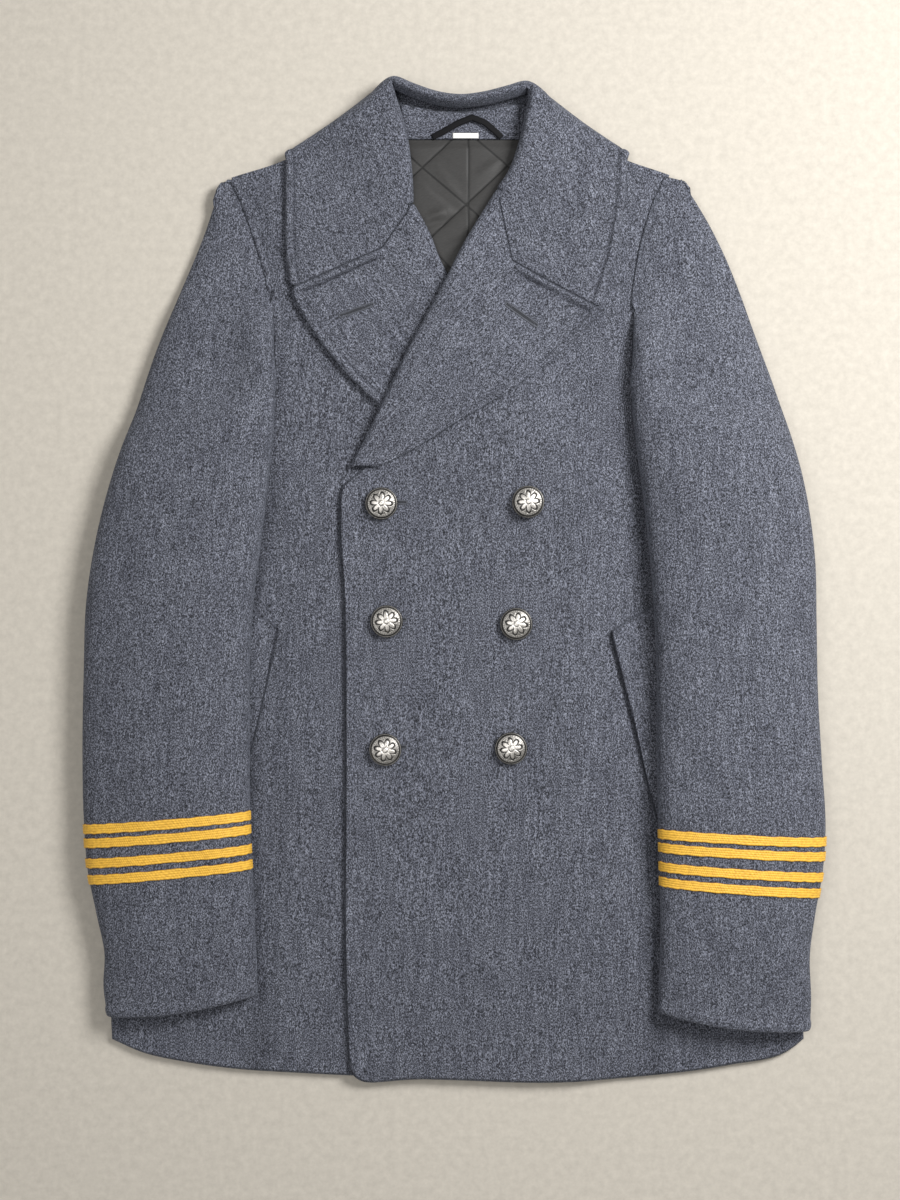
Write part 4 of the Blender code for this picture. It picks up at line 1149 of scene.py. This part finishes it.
class CoatSettings(bpy.types.PropertyGroup):
    """Sizes and colours that a user would change."""

    wool_colour: colour_setting(
        "Wool", "Middle colour of the wool melton", (0.123, 0.130, 0.156)
    )
    braid_colour: colour_setting(
        "Braid", "Colour of the braid round the cuffs", (0.9, 0.52, 0.055)
    )
    pewter_colour: colour_setting(
        "Buttons", "Colour of the buttons' metal where it is rubbed bright", (0.47, 0.45, 0.42)
    )
    lining_colour: colour_setting(
        "Lining", "Colour of the quilted lining", (0.034, 0.033, 0.032)
    )
    floor_colour: colour_setting(
        "Floor", "Colour of the surface under the coat", (0.535, 0.495, 0.43)
    )
    fold_depth: number_setting(
        "Folds", "Strength of the soft folds and unevenness, where 1 is as photographed",
        1.0, 0.0, 1.2, subtype="FACTOR",
    )
    button_diameter: number_setting(
        "Button diameter", "Diameter of the buttons", 0.025, 0.02, 0.026, unit="LENGTH"
    )
    key_power: number_setting(
        "Key light", "Power of the large light at the upper right", 27.0, 0.0, 400.0, unit="POWER"
    )


# Operators


def set_outlines():
    """Plans of the panels on the CAD model's own grids, for what lies on what."""
    v, u = np.linspace(0, 1, 30), np.linspace(0, 1, 20)
    lapel_v, lapel_u = np.linspace(0, 1, LAPEL_ROW_COUNT), np.linspace(0, 1, 9)
    Layers.outlines = {
        "front_right": border(front_plan(-1, v, u)),
        "front_left": border(front_plan(1, v, u)),
        "lapel_right": border(lapel_plan(-1, lapel_v, lapel_u)[0]),
    }


class COAT_OT_stage(bpy.types.Operator):
    """Floor, lights, surroundings and camera"""

    bl_idname = "coat.stage"
    bl_label = "Stage"

    def execute(self, context):
        bpy.ops.object.select_all(action="DESELECT")
        bpy.ops.mesh.primitive_plane_add(size=FLOOR_SIZE, location=(0.0, 0.0, FLOOR_Z))
        floor = context.object
        floor.name = "floor"
        made = Shading("Floor")
        colour = tuple(settings().floor_colour)
        fine = made.noise(made.coordinates(), 150.0, 4.0, 0.7)
        mottle = made.colours(fine, (0.3, tinted(colour, 0.9)), (0.7, tinted(colour, 1.07)))
        floor.data.materials.append(made.surface(mottle, None, 0.9))
        self.lamp("key", settings().key_power, *KEY_LAMP)
        self.lamp("fill", FILL_POWER, *FILL_LAMP)
        world = bpy.data.worlds.new("Studio")
        world.use_nodes = True
        background = world.node_tree.nodes["Background"]
        background.inputs["Color"].default_value = SKY_COLOUR
        background.inputs["Strength"].default_value = SKY_STRENGTH
        context.scene.world = world
        camera_data = bpy.data.cameras.new("camera")
        camera_data.lens = CAMERA_LENS
        camera_data.sensor_width = CAMERA_SENSOR
        camera = bpy.data.objects.new("camera", camera_data)
        camera.location = metres(CAMERA_PLACE)
        context.scene.collection.objects.link(camera)
        context.scene.camera = camera
        context.scene.view_settings.view_transform = "Standard"
        return {"FINISHED"}

    def lamp(self, name, power, place, target, size):
        data = bpy.data.lights.new(name, "AREA")
        data.shape = "DISK"
        data.size = size
        data.energy = power
        lamp = bpy.data.objects.new(name, data)
        lamp.location = place
        direction = lamp.location.copy()
        for k in range(3):
            direction[k] -= target[k]
        lamp.rotation_euler = direction.to_track_quat("Z", "Y").to_euler()
        bpy.context.scene.collection.objects.link(lamp)


class COAT_OT_body(bpy.types.Operator):
    """Back and both fronts"""

    bl_idname = "coat.body"
    bl_label = "Back and fronts"

    def execute(self, context):
        set_outlines()
        v = spaced(730, 150)
        back = lay(back_plan(v, spaced(540, 110)), back_low)
        x, y = back[..., 0], back[..., 1]
        fold = 0.7 * ridge(x, 3.0, 1.6) * (1 - beyond(y, 150.0, 40.0))
        wool_piece("back", back, WALL, 1, 0, ["floor"], relief=fold)
        cases = (
            ("front_right", front_low, "coat_back", -1),
            ("front_left", front_left_low, "coat_front_right", 1),
        )
        for node, low, rests_on, side in cases:
            plan = front_plan(side, v, spaced(350, 84))
            round_corner(plan, 0, 0 if side > 0 else -1, FRONT_CORNER)
            points = lay(plan, low)
            x, y = points[..., 0], points[..., 1]
            distances = edge_distances(points)
            front_edge, side_edge = distances[:2] if side > 0 else distances[1::-1]
            below_lapel = 1 - beyond(y, 70.0, 30.0)
            sewn = beyond(y, 128.0, 24.0)
            turned = 1.3 * ridge(front_edge, 0.0, 9.0) - 0.2 * ridge(front_edge, 6.4)
            relief = turned * below_lapel - 0.6 * ridge(side_edge, 0.0, 8.0) * sewn
            # Painted shade: the wool is darkened along the front's own edge below the lapel, and in
            # a soft band beside the sleeve's inner edge where the sleeve would shade it
            sleeve = np.array(SLEEVE_ROWS[side], float)
            beside = ridge(x - np.interp(y, sleeve[:, 3], sleeve[:, 2]), 0.0, 9.0)
            beside = beside * (1 - beyond(y, 60.0, 90.0))
            painted_shade = 0.55 * ridge(front_edge, 0.0, 1.4) * below_lapel + 0.3 * beside
            Layers.seams[side] = points[ARMHOLE_ROW:, -1 if side > 0 else 0, :2]
            soft = (1, 1 - sewn, 1, 0) if side > 0 else (1 - sewn, 1, 1, 0)
            looks = {"relief": relief, "soft": soft, "seam_and_shade": painted_shade}
            wool_piece(node, points, WALL, 1, 0, [rests_on], **looks)
        return {"FINISHED"}


class COAT_OT_lapels(bpy.types.Operator):
    """Both lapels, rolled over and lying on the fronts"""

    bl_idname = "coat.lapels"
    bl_label = "Lapels"

    def execute(self, context):
        for side, word in SIDES:
            plan, _ = lapel_plan(side, spaced(250, 62, at_start=False), np.linspace(0, 1, 60))
            points = lapel_points(plan, side, 30)
            x, y = points[..., 0], points[..., 1]
            inner, outer, _, gorge = edge_distances(points)
            flat = beyond(inner, 30.0, 20.0)
            past = ramp((side * (x - LAPEL_GORGE[side][0]) + 2.0) / 8.0)
            edge_band = stitched_edge(outer, *LAPEL_BAND) * flat
            gorge_band = stitched_edge(gorge, *GORGE_BAND) * past * flat
            relief = np.where(gorge < outer, gorge_band, edge_band)
            relief = relief + 0.9 * ridge(outer, 0.0, 12.0) * flat - 0.5 * ridge(gorge, 0.0, 1.6)
            relief = relief + folds(x, y, LAPEL_FOLDS[side]) * flat
            # Painted shade: the wool is darkened at the gorge seam, in the gorge's stitched groove
            # and in the outer edge's stitched groove
            groove = ridge(gorge, 6.6, 1.0) * past * flat * (gorge < outer)
            painted_shade = 0.95 * ridge(gorge, 0.0, 1.2) + 0.75 * groove
            painted_shade = painted_shade + 0.22 * ridge(outer, 6.3, 0.9) * flat * (outer < gorge)
            points, relief, painted_shade = (flip(part, -side) for part in (points, relief, painted_shade))
            looks = {"relief": relief, "seam_and_shade": painted_shade}
            node, rests_on = f"lapel_{word}", [f"coat_front_{word}"]
            wool_piece(node, points, TURNED_WALL, -1, -38 * side, rests_on, **looks)
        return {"FINISHED"}


class COAT_OT_collar(bpy.types.Operator):
    """The collar: its stand, roll and fall"""

    bl_idname = "coat.collar"
    bl_label = "Collar"

    def execute(self, context):
        u = spaced(112, 34, at_start=False)
        gorges, ends = {}, {}
        for side, _ in SIDES:
            plan, gorges[side] = lapel_plan(side, np.linspace(0, 1, LAPEL_ROW_COUNT), u)
            ends[side] = inward_normals(plan[:, 0], side < 0)[-1]
        points = collar_points(gorges, ends, spaced(440, 190), u)
        for row, inner_row in ((0, 1), (-1, -2)):
            round_corner(points[:, len(ROLL_ANGLES):], row, -1, LEAF_CORNER)
            step = points[row] - points[inner_row]
            points[row] += GORGE_LAP * step / np.linalg.norm(step, axis=-1)[:, None]
        inner, outer, *gorge = edge_distances(points)
        gorge = np.minimum(*gorge)
        flat = beyond(inner, 30.0, 20.0)
        relief = (stitched_edge(outer, *COLLAR_BAND) + 0.7 * ridge(outer, 0.0, 12.0)) * flat
        # The part that is turned under the back neck lies flat on the surface
        relief = relief * ramp(-outward(points)[..., 2] / 0.7)
        relief = relief - 0.5 * ridge(gorge, 0.0, 1.6)
        # Painted shade: the wool is darkened at the gorge seam and in the outer edge's stitched
        # groove
        painted_shade = 0.7 * ridge(gorge, 0.0, 1.0) + 0.5 * ridge(outer, 7.2, 1.0) * flat
        points, relief, painted_shade = (flip(part, 1) for part in (points, relief, painted_shade))
        looks = {"relief": relief, "seam_and_shade": painted_shade}
        rests_on = ["coat_front_right", "coat_front_left"]
        wool_piece("collar", points, TURNED_WALL, -1, 24, rests_on, **looks)
        return {"FINISHED"}


class COAT_OT_braids(bpy.types.Operator):
    """Four ribbed bands of braid round each cuff"""

    bl_idname = "coat.braids"
    bl_label = "Braids"

    def execute(self, context):
        gold = braid_material()
        dense = np.linspace(0, 1, 400)
        u = np.linspace(0.055, 0.968, 170)
        share = np.linspace(0, 1, BRAID_RIBS * 6 + 1)[:, None]
        ribs = np.abs(np.sin(np.pi * BRAID_RIBS * share)) ** 0.6
        relief = BRAID_FURROW * (ribs - 1) * np.ones(len(u))
        for side, word in SIDES:
            read = sleeve_rows(side, dense)
            for number, (outer_y, inner_y) in enumerate(BRAIDS[side], 1):
                wave = 0.22 * np.sin(u * 61 + number * 2.3 + side) + 0.12 * np.sin(u * 127 + number)
                lines = []
                for drop, sign in ((BRAID_HEIGHT, -1), (0.0, 1)):
                    outer_v = np.interp(outer_y - drop, read[:, 1], dense)
                    inner_v = np.interp(inner_y - drop, read[:, 3], dense)
                    lines.append(outer_v * (1 - u) + inner_v * u + sign * wave / 640.0)
                v = lines[0] * (1 - share) + lines[1] * share
                points = flip(sleeve_surface(side, np.repeat(u[None], len(share), axis=0), v), side)
                points = points + outward(points) * 0.12
                looks = {"relief": relief, "soft": (0, 0, 1, 1)}
                node = f"braid_{word}_{number}"
                shell(node, points, BRAID_WALL, 1, gold, "gold_braid", **looks)
        return {"FINISHED"}


class COAT_OT_sleeves(bpy.types.Operator):
    """Top and under sleeves, lying flat over the fronts"""

    bl_idname = "coat.sleeves"
    bl_label = "Sleeves"

    def execute(self, context):
        t = np.linspace(0, 1, 84)
        u = 0.5 * t + 0.25 * (1 - np.cos(np.pi * t))
        v = spaced(680, 150) * 0.998
        for side, word in SIDES:
            points = sleeve_surface(side, *np.meshgrid(u, v))
            distances = edge_distances(points)
            sewn = beyond(points[..., 1], 150.0, 24.0)
            relief = stitched_edge(distances[2], *CUFF_BAND)
            relief = relief - 0.85 * ridge(distances[1], 0.0, 8.0) * sewn
            points, relief, sewn = (flip(part, side) for part in (points, relief, sewn))
            soft = (1, 1 - sewn, 1, 0) if side < 0 else (1 - sewn, 1, 1, 0)
            turn = -5 if side < 0 else 4
            node, rests_on = f"top_sleeve_{word}", [f"coat_under_sleeve_{word}"]
            braids = [f"coat_braid_{word}_{number}" for number in (1, 2, 3, 4)]
            wool_piece(node, points, WALL, -1, turn, rests_on, braids, relief=relief, soft=soft)
            under = lay(under_sleeve_plan(side), lambda x, y: sleeve_low(x, y, side))
            node, rests_on = f"under_sleeve_{word}", [f"coat_front_{word}"]
            wool_piece(node, flip(under, side), WALL, 1, turn, rests_on, soft=(0, 0, 1, 0))
        return {"FINISHED"}


class COAT_OT_welts(bpy.types.Operator):
    """Slanted pocket welts on both fronts"""

    bl_idname = "coat.welts"
    bl_label = "Pocket welts"

    def execute(self, context):
        u = spaced(40, 26)[None, :, None]
        v = spaced(150, 60)[:, None, None]
        for side, word in SIDES:
            corners = np.array(WELTS[side], float)
            low = corners[3] * (1 - u) + corners[2] * u
            high = corners[0] * (1 - u) + corners[1] * u
            plan = low * (1 - v) + high * v
            for row in (0, -1):
                for column in (0, -1):
                    round_corner(plan, row, column, WELT_CORNER)
            points = lay(plan, lambda x, y: top_of(side)(x, y) + GAP)
            opening, _, lower, upper = edge_distances(points)
            relief = stitched_edge(np.minimum(lower, upper), *WELT_BAND)
            relief = relief + 1.6 * ridge(opening, 0.0, 7.0)
            # Painted shade: the wool is darkened along the pocket's opening, where the slit behind
            # it would be in shadow, and along its upper edge
            painted_shade = 0.85 * ridge(opening, 0.0, 1.5) + 0.35 * ridge(upper, 0.0, 1.2)
            points, relief, painted_shade = (flip(part, -side) for part in (points, relief, painted_shade))
            looks = {"relief": relief, "seam_and_shade": painted_shade}
            node, rests_on = f"welt_{word}", [f"coat_front_{word}"]
            wool_piece(node, points, WELT_WALL, 1, 13 * side, rests_on, **looks)
        return {"FINISHED"}


def quilt_lines(x, y):
    """Nought on either family of stitched lines, one half-way between them."""
    x, y = x - QUILT_CROSSING[0], y - QUILT_CROSSING[1]
    falling = 0.65 * x + 0.76 * y
    rising = -0.68 * x + 0.73 * y
    return np.abs(np.sin(np.pi * np.array([falling, rising]) / QUILT_PITCH))


def on_back(x, y):
    return back_low(x, y) + WALL + GAP


def on_facing(x, y):
    return on_back(x, y) + FACING_WALL + 0.15


def plan_grid(x, y):
    return np.stack(np.meshgrid(x, y), axis=-1)


class COAT_OT_neck(bpy.types.Operator):
    """What the open neck shows: facing, quilted lining, hanger loop and blank label"""

    bl_idname = "coat.neck"
    bl_label = "Inside of the neck"

    def execute(self, context):
        self.hanger_loop()
        self.label()
        self.lining()
        x = np.linspace(*FACING_X, 70)
        plan = plan_grid(x, np.linspace(0, 1, 16))
        top_y = line_y(NECK_EDGE, x) - 1.2
        plan[..., 1] = FACING_Y[0] + (top_y - FACING_Y[0])[None, :] * plan[..., 1]
        facing = lay(plan, on_back)
        held = ["coat_hanger_loop", "coat_label"]
        wool_piece("back_neck_facing", facing, FACING_WALL, 1, 90, ["coat_back"], held)
        return {"FINISHED"}

    def hanger_loop(self):
        marks = np.linspace(0, 1, len(HANGER))
        places = np.linspace(0, 1, 61)
        path = np.stack([np.interp(places, marks, line) for line in np.array(HANGER).T], axis=-1)
        share = np.linspace(TAPE_WIDTH / 2, -TAPE_WIDTH / 2, 7)
        plan = path[:, None] + inward_normals(path, True)[:, None] * share[None, :, None]
        loop = lay(plan, on_facing)
        loop[..., 2] += 2.5 * np.sin(np.pi * places)[:, None] + 0.2
        tape = plain_cloth("Black tape", (0.006, 0.006, 0.007), 1500.0, 0.7, 0.15)
        shell("hanger_loop", loop[:, ::-1], TAPE_WALL, 1, tape, "black_tape")

    def label(self):
        half_x, half_y = LABEL_SIZE[0] / 2, LABEL_SIZE[1] / 2
        x = LABEL_CENTRE[0] + np.linspace(-half_x, half_x, 22)
        y = LABEL_CENTRE[1] + np.linspace(-half_y, half_y, 8)
        white = plain_cloth("Blank label", (0.82, 0.82, 0.8), 1600.0, 0.75)
        shell("label", lay(plan_grid(x, y), on_facing), LABEL_WALL, 1, white, "blank_label")

    def lining(self):
        plan = plan_grid(np.linspace(*LINING_X, 190), np.linspace(*LINING_Y, 260))
        x, y = plan[..., 0], plan[..., 1]
        falling, rising = quilt_lines(x, y)
        raised = QUILT_RELIEF * (falling * rising) ** 0.3
        raised = raised * (1 - 0.25 * ridge(x, LINING_SEAM_X + 0.2, 1.1))
        raised = raised + folds(x, y, LINING_FOLDS)
        points = lay(plan, on_back)
        edge = ramp(depth_inside(x, y, border(plan)) / 8.0)
        points[..., 2] += LINING_WALL + np.maximum(raised, 0.0) * edge
        made = shell("lining", points, LINING_WALL, -1, satin_material(), "quilted_lining")
        places = points_of(made) / MM + CENTRE
        lines = np.min(quilt_lines(places[:, 0], places[:, 1]), axis=0)
        seam_and_shade = ridge(places[:, 0], LINING_SEAM_X, 1.0)
        add_field(made, "stitch", np.maximum(ramp((0.10 - lines) / 0.08), seam_and_shade))


def button_relief(share, angle):
    """Height of a generic eight-pointed star, a ring of beads and the recess between."""
    tip = 0.30 + 0.36 * np.abs(np.cos(4 * angle)) ** 0.8
    inside = ramp((tip - share) / 0.08)
    star = inside * (0.40 + 0.40 * np.clip(1 - share / tip, 0, 1))
    boss = 0.30 * ramp((0.16 - share) / 0.06) - 0.35 * ridge(share, 0.19, 0.025)
    outline = -0.50 * ridge(share, tip + 0.035, 0.045)
    beads = 0.35 * ridge(share, 0.80, 0.035) * (0.5 + 0.5 * np.cos(36 * angle))
    ring = 0.22 * ridge(share, 0.73, 0.018) - 0.15 * ridge(share, 0.765, 0.015)
    return star + boss + outline + beads + ring


class COAT_OT_buttons(bpy.types.Operator):
    """Six domed shank buttons"""

    bl_idname = "coat.buttons"
    bl_label = "Buttons"

    def execute(self, context):
        rings, dome_rings = 72, 50
        radius = settings().button_diameter / MM / 2
        dome = np.linspace(0, 0.88, dome_rings + 1)
        dome_z = BUTTON_UNDER + 1.6 + 4.7 * np.sqrt(1 - dome**2)
        rim_share, rim_z = np.array(BUTTON_RIM).T
        shank_share, shank_z = np.array(BUTTON_SHANK).T
        share = np.concatenate([dome, rim_share, shank_share])
        z = np.concatenate([dome_z, BUTTON_UNDER + rim_z, shank_z])
        dome_end = dome_rings / rings
        marks = np.linspace(0, dome_end, dome_rings + 1)
        below = np.linspace(dome_end, 1, len(share) - dome_rings)
        marks = np.concatenate([marks[:-1], below])
        for number, (x, y, turn) in enumerate(BUTTONS, 1):
            bpy.ops.object.select_all(action="DESELECT")
            bpy.ops.mesh.primitive_uv_sphere_add(segments=112, ring_count=rings, radius=1.0)
            made = context.object
            made.name = f"coat_button_{number}"
            ball = points_of(made)
            place = np.arccos(np.clip(ball[:, 2], -1, 1)) / np.pi
            angle = np.arctan2(ball[:, 1], ball[:, 0])
            r = np.interp(place, marks, share)
            relief = button_relief(r, angle + math.radians(turn))
            relief = np.where(place < dome_end + 0.001, relief, 0.0)
            relief = relief * (1 - beyond(r, 0.84, 0.04))
            ring = np.radians(np.arange(0, 360, 30))
            under_z = front_left_top(x + 3.5 * np.cos(ring), y + 3.5 * np.sin(ring)).max()
            height = under_z + GAP + 0.1 + np.interp(place, marks, z) + 0.75 * relief
            plan = np.stack([np.cos(angle), np.sin(angle)], axis=-1) * (r * radius)[:, None]
            move_points(made, np.column_stack([plan + (x, y), height]))
            field = 0.43 * (1 - beyond(r, 0.84, 0.05)) + 0.34 * ridge(r, 0.955, 0.035)
            add_field(made, "patina", field + relief * 1.15)
            finish_piece(made, pewter_material(), f"button_{number}")
        return {"FINISHED"}


def worked_hole(name, node, line, half_width, thread, dark):
    """A worked buttonhole: a raised ring of thread round a sheet of painted shade in its slit, with
    its eyelet.
    """
    start, end = np.array(line[:2], float), np.array(line[2:], float)
    middle = (start + end) / 2
    length = np.linalg.norm(end - start)
    run = (end - start) / length
    side = np.array([-run[1], run[0]])
    bpy.ops.object.select_all(action="DESELECT")
    bpy.ops.mesh.primitive_torus_add(
        major_segments=96, minor_segments=10, major_radius=1.0, minor_radius=0.25
    )
    ring = bpy.context.object
    x, y, z = points_of(ring).T
    major = np.arctan2(y, x)
    minor = np.arctan2(z, np.hypot(x, y) - 1.0)
    cos, sin = np.cos(major), np.sin(major)
    eyelet = 1 + 0.5 * ramp((-cos - 0.9) / 0.08)
    tube = 0.62 + 0.05 * np.sin(major * 48)
    a = (length / 2 + tube * np.cos(minor)) * np.sign(cos) * np.abs(cos) ** 0.35
    b = (half_width * eyelet + tube * np.cos(minor)) * np.sign(sin) * np.abs(sin) ** 0.35
    set_on(ring, node, middle + a[:, None] * run + b[:, None] * side,
           0.12 + tube * 0.8 * np.sin(minor))
    ring.name = name
    finish_piece(ring, thread)
    # The slit is a near-black sheet of painted shade laid on the cloth inside the ring
    bpy.ops.mesh.primitive_uv_sphere_add(segments=48, ring_count=12, radius=1.0)
    slit_shade = bpy.context.object
    x, y, z = points_of(slit_shade).T
    a = x * (length / 2 - 0.3)
    b = y * (half_width * (0.55 + 0.75 * ramp((-x - 0.82) / 0.1)))
    set_on(slit_shade, node, middle + a[:, None] * run + b[:, None] * side, 0.05 + 0.12 * z)
    slit_shade.name = name + "_slit"
    finish_piece(slit_shade, dark)


class COAT_OT_buttonholes(bpy.types.Operator):
    """Worked buttonholes on the lapels and beside the buttons"""

    bl_idname = "coat.buttonholes"
    bl_label = "Buttonholes"

    def execute(self, context):
        thread = plain_cloth("Buttonhole thread", (0.075, 0.08, 0.096), 1300.0, 0.8)
        # The slits' near-black cloth is painted shade
        dark = plain_cloth("Buttonhole slit", (0.028, 0.03, 0.036), 1500.0, 0.9)
        for side, word in SIDES:
            line = LAPEL_HOLES[side]
            worked_hole(f"lapel_hole_{word}", f"lapel_{word}", line, 1.5, thread, dark)
        for number, line in enumerate(FRONT_HOLES, 1):
            worked_hole(f"front_hole_{number}", "front_left", line, 1.3, thread, dark)
        return {"FINISHED"}


class COAT_PT_panel(bpy.types.Panel):
    """The coat's settings, and one button for each group of pieces"""

    bl_idname = "COAT_PT_panel"
    bl_label = "Double-breasted coat"
    bl_space_type = "VIEW_3D"
    bl_region_type = "UI"
    bl_category = "Coat"

    def draw(self, context):
        for name in CoatSettings.__annotations__:
            self.layout.prop(context.scene.coat, name)
        for operator in OPERATORS:
            self.layout.operator(operator.bl_idname)


# The operators in the order in which they run
OPERATORS = (
    COAT_OT_stage,
    COAT_OT_body,
    COAT_OT_lapels,
    COAT_OT_collar,
    COAT_OT_welts,
    COAT_OT_braids,
    COAT_OT_sleeves,
    COAT_OT_neck,
    COAT_OT_buttons,
    COAT_OT_buttonholes,
)


def register():
    for cls in (CoatSettings, *OPERATORS, COAT_PT_panel):
        bpy.utils.register_class(cls)
    bpy.types.Scene.coat = PointerProperty(type=CoatSettings)


def unregister():
    del bpy.types.Scene.coat
    for cls in reversed((CoatSettings, *OPERATORS, COAT_PT_panel)):
        bpy.utils.unregister_class(cls)


def main():
    register()
    bpy.ops.coat.stage()
    bpy.ops.coat.body()
    bpy.ops.coat.lapels()
    bpy.ops.coat.collar()
    bpy.ops.coat.welts()
    bpy.ops.coat.braids()
    bpy.ops.coat.sleeves()
    bpy.ops.coat.neck()
    bpy.ops.coat.buttons()
    bpy.ops.coat.buttonholes()


if __name__ == "__main__":
    main()
